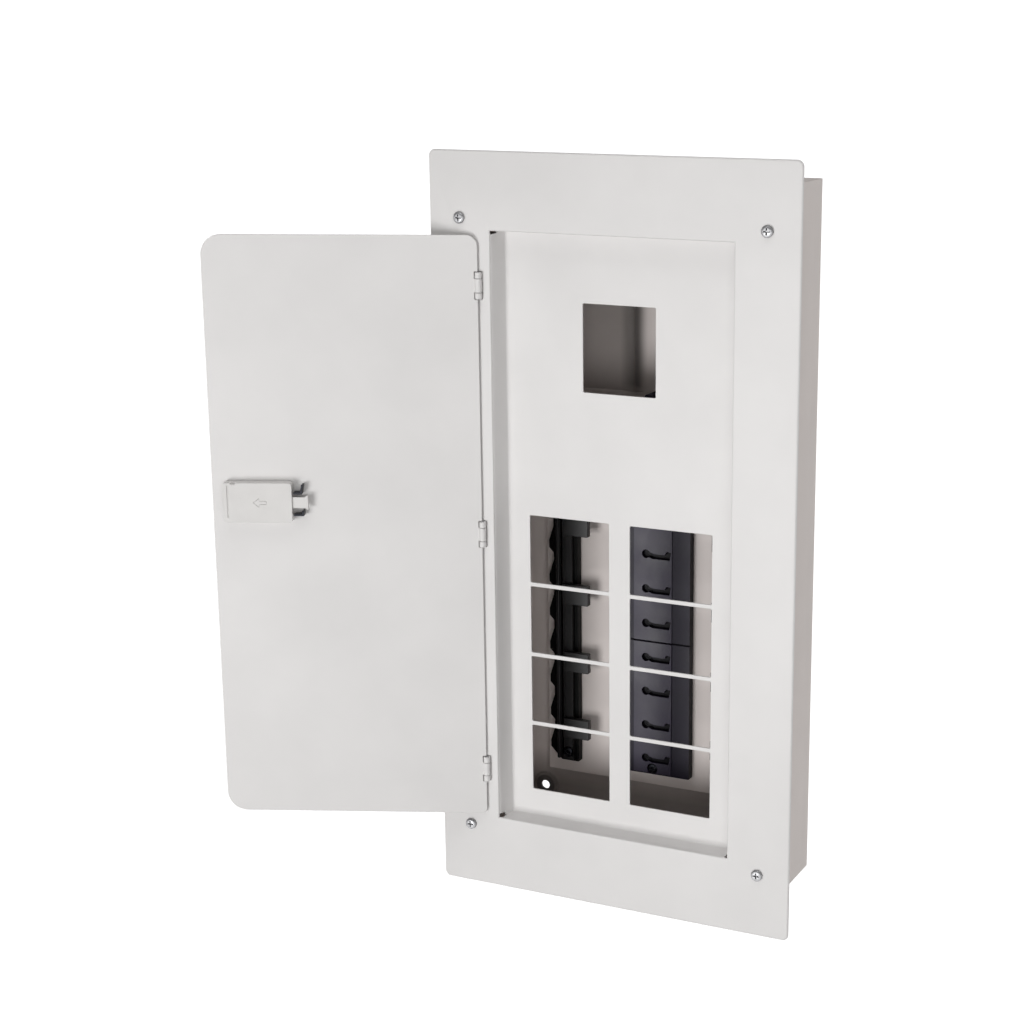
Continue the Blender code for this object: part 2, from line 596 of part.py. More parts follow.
def build_terminals():
    front = 60.0
    neutral, neutral_spots = build_terminal_bar("neutral_bar", 100.5, (-150.0, 30.0), 12, (front, front + 9),
                                                "aluminium_bar")
    for i, spot in enumerate(neutral_spots[::2]):
        screw(f"neutral_screw_{i + 1}", 100.5, spot, front - 1.2, head_r=2.9, head_h=1.8, shank_r=1.85, shank=4.4,
              drive="slot")
    for place, z in (("upper", 36.0), ("lower", -156.0)):
        stand = boxes(f"neutral_insulator_{place}", [((93.5, 107.5), (front + 9 + GAP, DEPTH - BOX_GAUGE - GAP),
                                                      (z - 6, z + 6))], "insulator")
        cap = boxes(f"{place}.stand_cap", [((95, 106), (front + 1, front + 10), (z - (5 if z > 0 else -0.6),
                                                                               z + (5 if z < 0 else -0.6)))])
        fuse(stand, cap)
    lug = boxes("neutral_lug", [((91.0, 110.0), (front - 16, front - GAP), (44.0, 66.0))], "aluminium_bar")
    link = boxes("lug.link", [((96, 105), (front - 4, front - GAP), (20.0, 45.0))])
    fuse(lug, link)
    cut(lug, tubes("lug.wire", [dict(centre=(100.5, front - 8, 40), direction=(0, 0, 1), length=30, outer=6.0,
                                     sides=16)]),
        tubes("lug.tap", [dict(centre=(100.5, front - 20, 55), direction=(0, 1, 0), length=8, outer=4.3, sides=14)]))
    screw("neutral_lug_screw", 100.5, 55, front - 17.0, head_r=5.4, head_h=3.0, shank_r=4.0, shank=2.2, drive="slot")

    ground, ground_spots = build_terminal_bar("ground_bar", -104.5, (40.0, 140.0), 8, (70.0, 78.0), "aluminium_bar")
    for i, spot in enumerate(ground_spots[::2]):
        screw(f"ground_screw_{i + 1}", -104.5, spot, 68.8, head_r=2.9, head_h=1.8, shank_r=1.85, shank=3.6,
              drive="slot")
    for place, z in (("upper", 146.0), ("lower", 34.0)):
        foot = boxes(f"ground_foot_{place}", [((-109.5, -99.5), (78 + GAP, DEPTH - BOX_GAUGE - GAP), (z - 5.5, z + 5.5))],
                     "zinc")
        near = (z - 5.5, z - 6.4) if z > 100 else (z + 5.5, z + 6.4)
        fuse(foot, boxes(f"{place}.ground_tab", [((-108, -101), (78 + GAP, 84), (min(near) - 6, max(near) + 6))]))

    strap = boxes("bonding_strap", [((90.0, 95.2), (front + 3, front + 4.4), (-132, -118))], "tinned_bus")
    leg = boxes("strap.leg", [((90.0, 91.4), (front + 3, DEPTH - BOX_GAUGE - GAP), (-132, -118))])
    foot = boxes("strap.foot", [((90.0, 108.0), (DEPTH - BOX_GAUGE - 1.7, DEPTH - BOX_GAUGE - GAP), (-132, -118))])
    fuse(strap, leg, foot)
    cut(strap, tubes("strap.hole", [dict(centre=(100, 80, -125), direction=(0, 1, 0), length=10, outer=2.2, sides=10)]))
    screw("bonding_screw", 100, -125, DEPTH - BOX_GAUGE - 2.0, "green_screw", head_r=4.0, head_h=2.0, shank_r=1.9,
          shank=1.4, drive="slot")


def build_screws():
    for vertical, sz in (("top", 1), ("bottom", -1)):
        for side, sx in (("left", -1), ("right", 1)):
            screw(f"trim_screw_{vertical}_{side}", sx * SCREW_X, sz * SCREW_Z, -GAP, head_r=4.4, head_h=2.3,
                  shank_r=1.9, shank=9.0)
    for i, (x, z) in enumerate(pan_screw_spots()):
        screw(f"pan_screw_{i + 1}", x, z, PAN_Y - GAP, head_r=4.0, head_h=2.0, shank_r=1.7, shank=5.0)
    for i, (x, z) in enumerate(base_screw_spots()):
        screw(f"base_screw_{i + 1}", x, z, BASE_FRONT + 2.1, "spring_steel", head_r=3.6, head_h=1.8, shank_r=1.7,
              shank=9.0)
    for i, (x, z) in enumerate(rail_screw_spots()):
        screw(f"rail_screw_{i + 1}", x, z, BASE_FRONT - 2.1, "spring_steel", head_r=3.5, head_h=1.8, shank_r=1.7,
              shank=13.5)


# ---------------------------------------------------------------- assembly

build_box()
build_trim()
build_dead_front()
door_axis = joint_empty("door_axis", point(AXIS_X, AXIS_Y, 0))
door_parts = [build_door()]
for place, z in zip(("upper", "middle", "lower"), HINGE_Z):
    build_hinge(place, z)
housing, bolt, springs = build_latch()
latch_axis = joint_empty("latch_axis", Vector((0, 0, 0)))
for made in (door_parts[0], housing, *springs):
    tools = {step.object for step in made.modifiers}
    for piece in (made, *tools):
        on_axis(piece, door_axis)
on_axis(latch_axis, door_axis)
latch_axis.location = point(AXIS_X + LATCH_S[1], 4.0, LATCH_Z)
for piece in (bolt, *{step.object for step in bolt.modifiers}):
    piece.parent = latch_axis
    piece.matrix_parent_inverse = Matrix.Translation(-latch_axis.location)
door_axis.rotation_euler.z = -math.radians(DOOR_OPEN)
build_interior_pan()
build_bus_base()
for side in (-1, 1):
    build_bus_bar(side)
    build_rail(side)
build_terminals()
build_screws()
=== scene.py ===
"""Residential load center with its door open: the finished look of the packed model, laid out as an add-on.

Metres, +Z up, the object faces -Y. Pieces are drawn in millimetres, with y measured back from the trim's front
face, and the door's pieces are drawn closed and then turned open about the hinge axis.
"""
import math

import bmesh
import bpy
from bpy.props import FloatProperty, FloatVectorProperty, PointerProperty
from mathutils import Matrix, Vector


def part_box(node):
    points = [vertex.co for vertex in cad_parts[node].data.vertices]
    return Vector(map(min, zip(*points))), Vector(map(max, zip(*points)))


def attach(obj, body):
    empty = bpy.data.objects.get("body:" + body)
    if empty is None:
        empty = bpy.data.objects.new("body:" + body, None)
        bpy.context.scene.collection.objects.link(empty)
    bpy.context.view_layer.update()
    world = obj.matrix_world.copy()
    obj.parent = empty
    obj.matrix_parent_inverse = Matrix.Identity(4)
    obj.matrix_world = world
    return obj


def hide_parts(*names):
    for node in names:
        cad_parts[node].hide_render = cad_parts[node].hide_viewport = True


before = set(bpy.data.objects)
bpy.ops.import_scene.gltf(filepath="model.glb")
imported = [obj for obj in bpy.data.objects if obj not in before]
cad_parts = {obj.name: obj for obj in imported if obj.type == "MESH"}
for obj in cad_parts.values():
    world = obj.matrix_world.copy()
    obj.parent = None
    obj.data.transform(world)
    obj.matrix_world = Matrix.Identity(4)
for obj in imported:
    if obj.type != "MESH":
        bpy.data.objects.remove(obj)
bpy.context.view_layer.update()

bl_info = {
    "name": "Residential Load Center",
    "version": (1, 0, 0),
    "blender": (4, 5, 0),
    "location": "View3D > Sidebar > Load Center",
    "description": "Builds the enclosure, trim, door, latch and bus interior of a flush load center on its frame",
    "category": "Add Mesh",
}

MM = 0.001
BOX_LOW, BOX_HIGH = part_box("back_box")
TRIM_LOW, TRIM_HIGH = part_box("trim_frame")
DEPTH = -TRIM_LOW.y / MM
BACK = DEPTH  # the enclosure's outer back, behind the trim's face
LIP = 11.5  # the enclosure's front lip
OPEN_X, OPEN_Z = 87.2, 207.6  # half the trim's opening
AXIS_X, AXIS_Y = -94.9, -2.0  # hinge axis
KNUCKLE, BORE = 2.4, 1.3  # hinge radii
HINGE_Z = (171.2, 0.0, -171.2)
HINGES = tuple(zip(("upper", "middle", "lower"), HINGE_Z))
DOOR_Y = -3.1  # the closed door's outside
HOLE_X, HOLE_Z = 109.4, 215.6  # trim screws
WALL_X, WALL_Z = 93.8, 214.3  # wall screws
LATCH_Z = 23.0
PAN_Y, BASE_Y = 80.0, 72.0  # fronts of the pan and of the bus base
RAIL_Y = BASE_Y - 3  # front of the breaker rails
NECK_Z = 92.0  # where the pan's neck starts
POLE = 25.4
SIDES = (("left", -1), ("right", 1))
CORNERS = ((1, 1), (-1, 1), (-1, -1), (1, -1))
PAN_SCREWS = ((-45, 84), (45, 84), (-28.8, -191.8), (52, -191.8))
BASE_SCREWS = ((0, 8), (0, -182))
RAIL_SCREWS = ((-66, 30), (-66, -178), (66, 30), (66, -178))


def linear(code):
    """The linear colour of an sRGB hex code such as "#E6E3DE"."""
    parts = [int(code[i:i + 2], 16) / 255 for i in (1, 3, 5)]
    return tuple(p / 12.92 if p <= 0.04045 else ((p + 0.055) / 1.055) ** 2.4 for p in parts)


# ---------------------------------------------------------------- settings


def length(name, description, value):
    return FloatProperty(name=name, description=description, default=value, min=0.0, precision=4, unit="LENGTH")


def colour(name, description, code):
    return FloatVectorProperty(name=name, description=description, default=linear(code), size=3, min=0.0, max=1.0,
                               subtype="COLOR")


def power(name, description, value):
    return FloatProperty(name=name, description=description, default=value, unit="POWER")


def glow(name, description, value):
    return FloatProperty(name=name, description=description, default=value, min=0.0)


class LoadCenterSizes(bpy.types.PropertyGroup):
    """Sizes that can change without the packed frame changing."""

    sheet: length("Sheet Gauge", "Thickness of the trim, door and dead front", 0.0012)
    box_sheet: length("Box Gauge", "Thickness of the enclosure's steel", 0.0015)
    trim_corner: length("Trim Corner", "Corner radius of the trim, seen from the front", 0.0045)
    trim_bend: length("Trim Roll", "Radius of the trim's rolled outer edge", 0.0014)
    mouth_bend: length("Opening Bend", "Radius where the trim turns into the recess", 0.0012)
    recess: length("Recess Depth", "From the trim's face to the dead-front plate", 0.016)
    recess_bend: length("Recess Bend", "Radius between the recess walls and the plate", 0.0012)
    recess_draft: length("Recess Draft", "How far the recess's side walls lean inwards", 0.0032)
    edge: length("Sheet Edge", "Rounding left on sheared and painted edges", 0.00035)
    door_angle: FloatProperty(name="Door Angle", description="How far the door stands open in the packed frame",
                              default=math.radians(157.4), subtype="ANGLE", unit="ROTATION")


class LoadCenterFinishes(bpy.types.PropertyGroup):
    """Colours of the finishes."""

    enamel: colour("Trim Enamel", "Powder coat on the trim, door and dead front", "#E1DFDE")
    box_enamel: colour("Box Enamel", "Powder coat on the enclosure and the interior pan", "#E3DAD6")
    moulding: colour("Base Moulding", "Thermoset bus base", "#282235")
    rail: colour("Rail Moulding", "Thermoset breaker rails", "#0B0A0C")
    latch: colour("Latch Plastic", "Moulded latch housing and bolt", "#DDDBD9")
    zinc: colour("Zinc Plate", "Screws and hinge pins", "#A4A4A6")
    tin: colour("Tin Plate", "Bus bars and bonding strap", "#CFCFCB")
    backdrop: colour("Floor", "Matt painted floor", "#FBFBFA")


class LoadCenterStage(bpy.types.PropertyGroup):
    """Studio light and floor."""

    key: power("Key Light", "Large soft light in front, low and a little to the left", 21.0)
    fill: power("Fill Light", "Soft light at the right", 3.0)
    side: power("Side Light", "Soft light on the enclosure's right side", 2.0)
    top: power("Top Light", "Soft light overhead, a little in front", 5.5)
    sky: glow("Ceiling", "Even light from above", 0.25)
    walls: glow("Walls", "Even light from the sides and the front", 0.36)
    bounce: glow("Floor Bounce", "Even light from below", 0.25)
    floor_drop: length("Floor Drop", "From the middle of the load center down to the floor", 1.2)


def mm(name):
    return getattr(bpy.context.scene.load_center_sizes, name) / MM


def tint(name):
    return tuple(getattr(bpy.context.scene.load_center_finishes, name))


# ---------------------------------------------------------------- shapes


def spot(x, y, z):
    """Millimetres from the trim's face, as metres from the wall."""
    return Vector((x, y - DEPTH, z)) * MM


def loft(bm, rings, loop=False):
    """Skins rings of equal length, with an end cap at each end, or with the last ring joined to the first."""
    made = [[bm.verts.new(spot(*p)) for p in ring] for ring in rings]
    for a, b in list(zip(made, made[1:])) + ([(made[-1], made[0])] if loop else []):
        band(bm, a, b)
    if not loop:
        bm.faces.new(made[0][::-1])
        bm.faces.new(made[-1])


def block(bm, x, y, z):
    """A block between the two values of each pair."""
    loft(bm, [[(a, b, c) for a, b in ((x[0], y[0]), (x[1], y[0]), (x[1], y[1]), (x[0], y[1]))] for c in z])


def plate(bm, outline, span, across="y"):
    """An outline of two coordinates drawn out along the third."""
    order = {"x": lambda a, b, c: (c, a, b), "y": lambda a, b, c: (a, c, b), "z": lambda a, b, c: (a, b, c)}[across]
    loft(bm, [[order(a, b, c) for a, b in outline] for c in span])


def lathe(bm, centre, axis, profile, steps=24, loop=False):
    """A turned shape: profile pairs are the distance along the axis and the radius there."""
    along = Vector(axis).normalized()
    side = along.orthogonal().normalized()
    other = along.cross(side)
    rings = []
    for at, radius in profile:
        turns = (2 * math.pi * (i + 0.5) / steps for i in range(steps))
        rings.append([Vector(centre) + along * at + (side * math.cos(t) + other * math.sin(t)) * radius
                      for t in turns])
    loft(bm, rings, loop)


def tube(bm, centre, axis, long, outer, inner=0.0, steps=24):
    profile = [(0, outer), (long, outer)] + ([(long, inner), (0, inner)] if inner else [])
    lathe(bm, centre, axis, profile, steps, loop=bool(inner))


def arc(cx, cy, radius, start, end, steps=6):
    """Points on an arc between two angles in degrees."""
    turns = (math.radians(start + (end - start) * i / steps) for i in range(steps + 1))
    return [(cx + radius * math.cos(t), cy + radius * math.sin(t)) for t in turns]


def rounded(x, z, radii, steps=8):
    """A rectangle between two x and two z values. radii is one value, or four from the top right, turning left."""
    four = radii if isinstance(radii, tuple) else (radii,) * 4
    corners = ((x[1], z[1], -1, -1), (x[0], z[1], 1, -1), (x[0], z[0], 1, 1), (x[1], z[0], -1, 1))
    found = []
    for quarter, ((cx, cz, sx, sz), r) in enumerate(zip(corners, four)):
        found += arc(cx + sx * r, cz + sz * r, r, 90 * quarter, 90 * quarter + 90, steps)
    return found


def band(bm, a, b):
    """Faces between two rings of vertices."""
    for i in range(len(a)):
        j = (i + 1) % len(a)
        bm.faces.new((a[i], a[j], b[j], b[i]))


def finished(bm, name="shape"):
    """Turns a drawing into an object of the scene."""
    mesh = bpy.data.meshes.new(name)
    bm.to_mesh(mesh)
    bm.free()
    made = bpy.data.objects.new(name, mesh)
    bpy.context.scene.collection.objects.link(made)
    return made


def solid(draw, *args, **kwargs):
    """An object from a drawing function, or from several (function, arguments) rows."""
    bm = bmesh.new()
    for row in ([(draw, *args)] if callable(draw) else draw):
        row[0](bm, *row[1:], **kwargs)
    bmesh.ops.recalc_face_normals(bm, faces=bm.faces)
    return finished(bm)


def combine(target, operation, *others):
    """Cuts away or adds the others, and keeps the result as the target's own mesh."""
    for other in others:
        step = target.modifiers.new(operation, "BOOLEAN")
        step.operation, step.solver, step.object = operation, "EXACT", other
    graph = bpy.context.evaluated_depsgraph_get()
    mesh = bpy.data.meshes.new_from_object(target.evaluated_get(graph))
    target.modifiers.clear()
    old, target.data = target.data, mesh
    bpy.data.meshes.remove(old)
    for other in others:
        old = other.data
        bpy.data.objects.remove(other)
        bpy.data.meshes.remove(old)
    return target


def cut(target, *others):
    return combine(target, "DIFFERENCE", *others)


def fuse(target, *others):
    return combine(target, "UNION", *others)


def door_turn():
    """From the closed position to the packed one."""
    angle = bpy.context.scene.load_center_sizes.door_angle
    hinge = Matrix.Translation(spot(AXIS_X, AXIS_Y, 0))
    return hinge @ Matrix.Rotation(-angle, 4, "Z") @ hinge.inverted()


def ease(made, width, segments, angle):
    easing = made.modifiers.new("eased edges", "BEVEL")
    easing.width, easing.segments = width * MM, segments
    easing.limit_method, easing.angle_limit = "ANGLE", math.radians(angle)
    return easing


def settle(made, name, material, slot, nodes, body="enclosure", edge=0.3, segments=2, sharp=32, turn=None,
           split=False):
    """Names a piece, rounds its edges, gives it its finish, and hangs it on its body in place of its nodes."""
    if isinstance(nodes, str):
        nodes = (nodes,)
    made.name = made.data.name = name
    bm = bmesh.new()
    bm.from_mesh(made.data)
    bmesh.ops.remove_doubles(bm, verts=bm.verts, dist=2e-6)
    bmesh.ops.dissolve_limit(bm, angle_limit=math.radians(0.4), verts=bm.verts, edges=bm.edges)
    if split:
        bmesh.ops.triangulate(bm, faces=[face for face in bm.faces if len(face.verts) > 4])
    bm.to_mesh(made.data)
    bm.free()
    if turn:
        made.data.transform(turn)
    made.data.shade_smooth()
    made.data.set_sharp_from_angle(angle=math.radians(sharp))
    if edge:
        easing = ease(made, edge, segments, sharp)
        easing.use_clamp_overlap, easing.harden_normals = False, True
        easing.miter_outer = "MITER_ARC"
    made.data.materials.clear()
    made.data.materials.append(FINISHES[material]())
    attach(made, body)
    if nodes:
        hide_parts(*nodes)
    return made


# ---------------------------------------------------------------- finishes


def add(tree, kind, inputs=(), **settings):
    """Adds a node with its settings; an input is a value or another node's output."""
    made = tree.nodes.new(kind)
    for key, value in settings.items():
        setattr(made, key, value)
    for key, value in dict(inputs).items():
        if isinstance(value, bpy.types.NodeSocket):
            tree.links.new(value, made.inputs[key])
        else:
            made.inputs[key].default_value = value
    return made


def begin(name, **values):
    """A material with its shader set, and the coordinates of the piece in metres."""
    made = bpy.data.materials.new(name)
    made.use_nodes = True
    tree = made.node_tree
    shader = tree.nodes["Principled BSDF"]
    for key, value in values.items():
        shader.inputs[key.replace("_", " ")].default_value = value
    return made, tree, shader, add(tree, "ShaderNodeTexCoord").outputs["Object"]


def once(make):
    """Makes each material the first time it is asked for."""
    kept = {}

    def ask():
        if make not in kept:
            kept[make] = make()
        return kept[make]

    ask.__name__, ask.__doc__ = make.__name__, make.__doc__
    return ask


def shades(colour, *factors):
    """The colour times each factor, as RGBA."""
    return [tuple(min(c * f, 1.0) for c in colour) + (1.0,) for f in factors]


def blend(tree, factor, low, high):
    """A colour between two, by a factor from 0 to 1."""
    return add(tree, "ShaderNodeMix", {0: factor, 6: low, 7: high}, data_type="RGBA").outputs[2]


def spread(tree, value, low, high, start=0.3, end=0.7):
    """Maps a pattern's middle range to a range of roughness, weight or light."""
    return add(tree, "ShaderNodeMapRange", {"Value": value, "From Min": start, "From Max": end, "To Min": low,
                                            "To Max": high}).outputs["Result"]


def noise(tree, where, size, detail=2.0, rough=0.5):
    """Cloudy pattern whose patches are about size millimetres across."""
    return add(tree, "ShaderNodeTexNoise", {"Vector": where, "Scale": 1 / (size * MM), "Detail": detail,
                                            "Roughness": rough}).outputs["Fac"]


def relief(tree, height, depth, strength=1.0, under=None):
    """A bump whose full height is depth millimetres."""
    inputs = {"Height": height, "Distance": depth * MM, "Strength": strength}
    if under is not None:
        inputs["Normal"] = under
    return add(tree, "ShaderNodeBump", inputs).outputs["Normal"]


def powder_coat(name, base, rough):
    """Polyester powder coat, sprayed and baked: satin, faintly wavy like orange skin, paler where the film is thin."""
    made, tree, shader, where = begin(name, IOR=1.5)
    film = noise(tree, where, 55, 3)
    low, high = shades(base, 0.965, 1.02)
    body = blend(tree, spread(tree, film, 0, 1), low, high)
    edge = add(tree, "ShaderNodeNewGeometry").outputs["Pointiness"]
    worn = spread(tree, edge, 0, 0.35, 0.52, 0.62)
    tree.links.new(blend(tree, worn, body, shades(base, 1.06)[0]), shader.inputs["Base Color"])
    specks = noise(tree, where, 1.1, 2)
    tree.links.new(spread(tree, specks, rough - 0.05, rough + 0.05), shader.inputs["Roughness"])
    # Real orange peel is 1 to 2 mm from crest to crest and a few micrometres deep.
    peel = relief(tree, noise(tree, where, 1.7, 1), 0.012, 0.55)
    tree.links.new(relief(tree, noise(tree, where, 0.5, 2), 0.004, 0.4, peel), shader.inputs["Normal"])
    return made


def times(tree, a, b):
    return add(tree, "ShaderNodeMath", {0: a, 1: b}, operation="MULTIPLY").outputs[0]


def axes(tree, where):
    return add(tree, "ShaderNodeSeparateXYZ", {"Vector": where}).outputs


def from_neck_up(tree, height):
    """0 below the pan's neck and 1 beside it."""
    return spread(tree, height, 0, 1, (NECK_Z - 4) * MM, (NECK_Z + 4) * MM)


def darken(tree, amount, dark):
    """Lays a darker colour over a finish, by an amount from 0 to 1."""
    skin = tree.nodes["Principled BSDF"].inputs["Base Color"]
    tree.links.new(blend(tree, amount, skin.links[0].from_socket, dark), skin)


@once
def trim_enamel():
    """Warm white powder coat on the trim, door and dead front."""
    return powder_coat("powder_coat_warm_white", tint("enamel"), 0.42)


@once
def box_enamel():
    """Greyer, flatter powder coat on the enclosure, worn to dark oiled steel around the wall holes."""
    made = powder_coat("powder_coat_light_grey", tint("box_enamel"), 0.5)
    tree = made.node_tree
    where = add(tree, "ShaderNodeTexCoord").outputs["Object"]
    # Painted shade: a dark disc round each wall hole, full within 7 mm of its centre and gone at 11 mm.
    folded = add(tree, "ShaderNodeVectorMath", {0: where}, operation="ABSOLUTE").outputs[0]
    off = add(tree, "ShaderNodeVectorMath", {0: folded, 1: (WALL_X * MM, 0, WALL_Z * MM)},
              operation="SUBTRACT").outputs[0]
    flat = add(tree, "ShaderNodeVectorMath", {0: off, 1: (1, 0, 1)}, operation="MULTIPLY").outputs[0]
    reach = add(tree, "ShaderNodeVectorMath", {0: flat}, operation="LENGTH").outputs["Value"]
    dark = shades(tint("box_enamel"), 0.1)[0]
    darken(tree, spread(tree, reach, 0.9, 0, 7 * MM, 11 * MM), dark)
    # Painted shade on the back wall's inside: a band beside the pan's neck, and more of it low down.
    apart = axes(tree, folded)
    place = axes(tree, where)
    inner = times(tree, spread(tree, apart["Y"], 0, 1, 0.7 * MM, 1.3 * MM),
                  spread(tree, apart["Y"], 1, 0, 2.0 * MM, 3.0 * MM))
    beside = times(tree, spread(tree, apart["X"], 0.8, 0, 20 * MM, 32 * MM),
                   from_neck_up(tree, place["Z"]))
    low = spread(tree, place["Z"], 0.6, 0, -212 * MM, -185 * MM)
    darken(tree, times(tree, inner, beside), dark)
    darken(tree, times(tree, inner, low), dark)
    return made


@once
def pan_enamel():
    """The same coat on the interior pan, thin and sooty along the folds of its neck."""
    made = powder_coat("powder_coat_light_grey_pan", tint("box_enamel"), 0.5)
    tree = made.node_tree
    place = axes(tree, add(tree, "ShaderNodeTexCoord").outputs["Object"])
    across = add(tree, "ShaderNodeMath", {0: place["X"]}, operation="ABSOLUTE").outputs[0]
    # The painted shade is darkest 16.5 mm from the middle, and gone 10 mm to either side of that.
    off = add(tree, "ShaderNodeMath", {0: across, 1: 16.5 * MM}, operation="SUBTRACT").outputs[0]
    away = add(tree, "ShaderNodeMath", {0: off}, operation="ABSOLUTE").outputs[0]
    painted_fold_shade = add(tree, "ShaderNodeMapRange", {"Value": away, "From Min": 0.0, "From Max": 10 * MM, "To Min": 0.85,
                                            "To Max": 0.0}, interpolation_type="SMOOTHSTEP").outputs["Result"]
    darken(tree, times(tree, painted_fold_shade, from_neck_up(tree, place["Z"])), shades(tint("box_enamel"), 0.12)[0])
    return made


def moulded(name, base, face):
    """Compression-moulded glass polyester: satin, with cloudy flow, pale fibres and a fine mould grain.

    Dust and handling have paled the outermost face, face mm behind the trim; what lies deeper is darker.
    """
    made, tree, shader, where = begin(name, IOR=1.56)
    low, high = shades(base, 0.78, 1.2)
    flow = noise(tree, where, 24, 4, 0.6)
    fibre = noise(tree, where, 1.4, 3)
    tone = blend(tree, spread(tree, flow, 0, 1), low, high)
    depth = axes(tree, where)["Y"]
    tone = blend(tree, spread(tree, fibre, 0, 0.25, 0.5, 0.75), tone, shades(base, 1.7)[0])
    # Painted shade on faces deeper than the outer face: a darker colour and a weaker reflection.
    behind = spread(tree, depth, 0, 1, spot(0, face + 0.2, 0)[1], spot(0, face + 1.6, 0)[1])
    tree.links.new(blend(tree, behind, tone, shades(base, 0.12)[0]), shader.inputs["Base Color"])
    tree.links.new(spread(tree, behind, 0.4, 0.12, 0, 1), shader.inputs["Specular IOR Level"])
    tree.links.new(spread(tree, flow, 0.36, 0.52), shader.inputs["Roughness"])
    tree.links.new(relief(tree, noise(tree, where, 0.6, 3), 0.01, 0.6), shader.inputs["Normal"])
    return made


@once
def thermoset():
    """Violet-grey polyester of the bus base."""
    return moulded("glass_polyester_violet_grey", tint("moulding"), BASE_Y)


@once
def rail_black():
    """Blacker polyester of the breaker rails."""
    return moulded("glass_polyester_black", tint("rail"), RAIL_Y)


@once
def latch_plastic():
    """Injection-moulded ABS in the door's white: matt spark-eroded texture with a slight flow shade."""
    made, tree, shader, where = begin("abs_moulded_white", IOR=1.53)
    low, high = shades(tint("latch"), 0.955, 1.01)
    tree.links.new(blend(tree, spread(tree, noise(tree, where, 16, 2), 0, 1), low, high), shader.inputs["Base Color"])
    grain = noise(tree, where, 0.45, 2)
    tree.links.new(spread(tree, grain, 0.44, 0.58), shader.inputs["Roughness"])
    tree.links.new(relief(tree, grain, 0.008, 0.7), shader.inputs["Normal"])
    return made


def plated(name, base, rough, cloud=3.0, mark=0.9, pit=0.006):
    """Plated steel: a metal skin with cloudy patches a few millimetres wide and fine pits."""
    made, tree, shader, where = begin(name, Metallic=1.0)
    low, high = shades(base, 0.86, 1.05)
    patches = noise(tree, where, cloud, 4, 0.6)
    tree.links.new(blend(tree, spread(tree, patches, 0, 1), low, high), shader.inputs["Base Color"])
    tree.links.new(spread(tree, noise(tree, where, mark, 3), rough - 0.08, rough + 0.1), shader.inputs["Roughness"])
    tree.links.new(relief(tree, noise(tree, where, 0.35, 3), pit, 0.6), shader.inputs["Normal"])
    return made


@once
def bright_zinc():
    """Electroplated zinc with clear passivate: bluish silver, satin."""
    return plated("zinc_plate_bright", tint("zinc"), 0.4)


@once
def tin_plate():
    """Hot-dipped tin over copper bus: soft dull silver with broad clouds."""
    return plated("tin_plate_dull", tint("tin"), 0.36, cloud=9.0, mark=2.2)


@once
def spring_steel():
    """Blued spring strip: almost black, oily sheen."""
    return plated("spring_steel_blackened", linear("#2C2D31"), 0.38, cloud=2.5)


@once
def green_plate():
    """Zinc plate with a green dye, as on a bonding screw."""
    return plated("zinc_plate_green", linear("#2E7A48"), 0.34)


@once
def extruded_bar():
    """Extruded aluminium: fine die lines along the bar, drawn 0.25 mm apart so that they show."""
    made, tree, shader, where = begin("aluminium_extruded", Metallic=1.0, Anisotropic=0.4)
    stretched = add(tree, "ShaderNodeMapping", {"Vector": where, "Scale": (1.0, 1.0, 0.02)}).outputs["Vector"]
    lines = noise(tree, stretched, 0.25, 3, 0.7)
    low, high = shades(linear("#C9CACC"), 0.85, 1.05)
    tree.links.new(blend(tree, spread(tree, lines, 0, 1), low, high), shader.inputs["Base Color"])
    tree.links.new(spread(tree, lines, 0.3, 0.46), shader.inputs["Roughness"])
    tree.links.new(relief(tree, lines, 0.01, 0.5), shader.inputs["Normal"])
    return made


@once
def natural_nylon():
    """Glass-filled nylon in its natural cream: matt with short pale fibres."""
    made, tree, shader, where = begin("nylon_glass_filled", IOR=1.53)
    low, high = shades(linear("#C4BFA9"), 0.88, 1.06)
    fibre = noise(tree, where, 1.2, 4, 0.7)
    tree.links.new(blend(tree, spread(tree, fibre, 0, 1), low, high), shader.inputs["Base Color"])
    tree.links.new(spread(tree, fibre, 0.5, 0.66), shader.inputs["Roughness"])
    tree.links.new(relief(tree, fibre, 0.015, 0.5), shader.inputs["Normal"])
    return made


@once
def floor_paint():
    """Rolled matt floor paint: near white, with a broad roller shade."""
    made, tree, shader, where = begin("floor_paint_matt", Roughness=0.9)
    low, high = shades(tint("backdrop"), 0.985, 1.0)
    tree.links.new(blend(tree, spread(tree, noise(tree, where, 420, 2), 0, 1), low, high), shader.inputs["Base Color"])
    tree.links.new(relief(tree, noise(tree, where, 3, 2), 0.05, 0.3), shader.inputs["Normal"])
    shader.inputs["Emission Color"].default_value = (1, 1, 1, 1)
    shader.inputs["Emission Strength"].default_value = 0.9
    return made


FINISHES = {make.__name__: make for make in (
    trim_enamel, box_enamel, pan_enamel, thermoset, rail_black, latch_plastic, bright_zinc, tin_plate, spring_steel,
    green_plate, extruded_bar, natural_nylon, floor_paint)}


# ---------------------------------------------------------------- enclosure


def knockout(centre, axis, radii):
    """Cutters for one knockout: a sheared ring for each size, broken by two ties, and a slightly sunk disc."""
    made = []
    for radius in radii:
        ring = solid(tube, centre, axis, 2.4, radius, radius - 0.55, steps=40)
        along = Vector(axis)
        tie = Vector((0, 1, 0)) if abs(along.y) < 0.5 else Vector((0, 0, 1))
        half = [max(abs(tie[k]) * (radius + 2), abs(along[k]) * 4, 1.6) for k in range(3)]
        spans = [(centre[k] - half[k], centre[k] + half[k]) for k in range(3)]
        made.append(cut(ring, solid(block, *spans)))
    return made


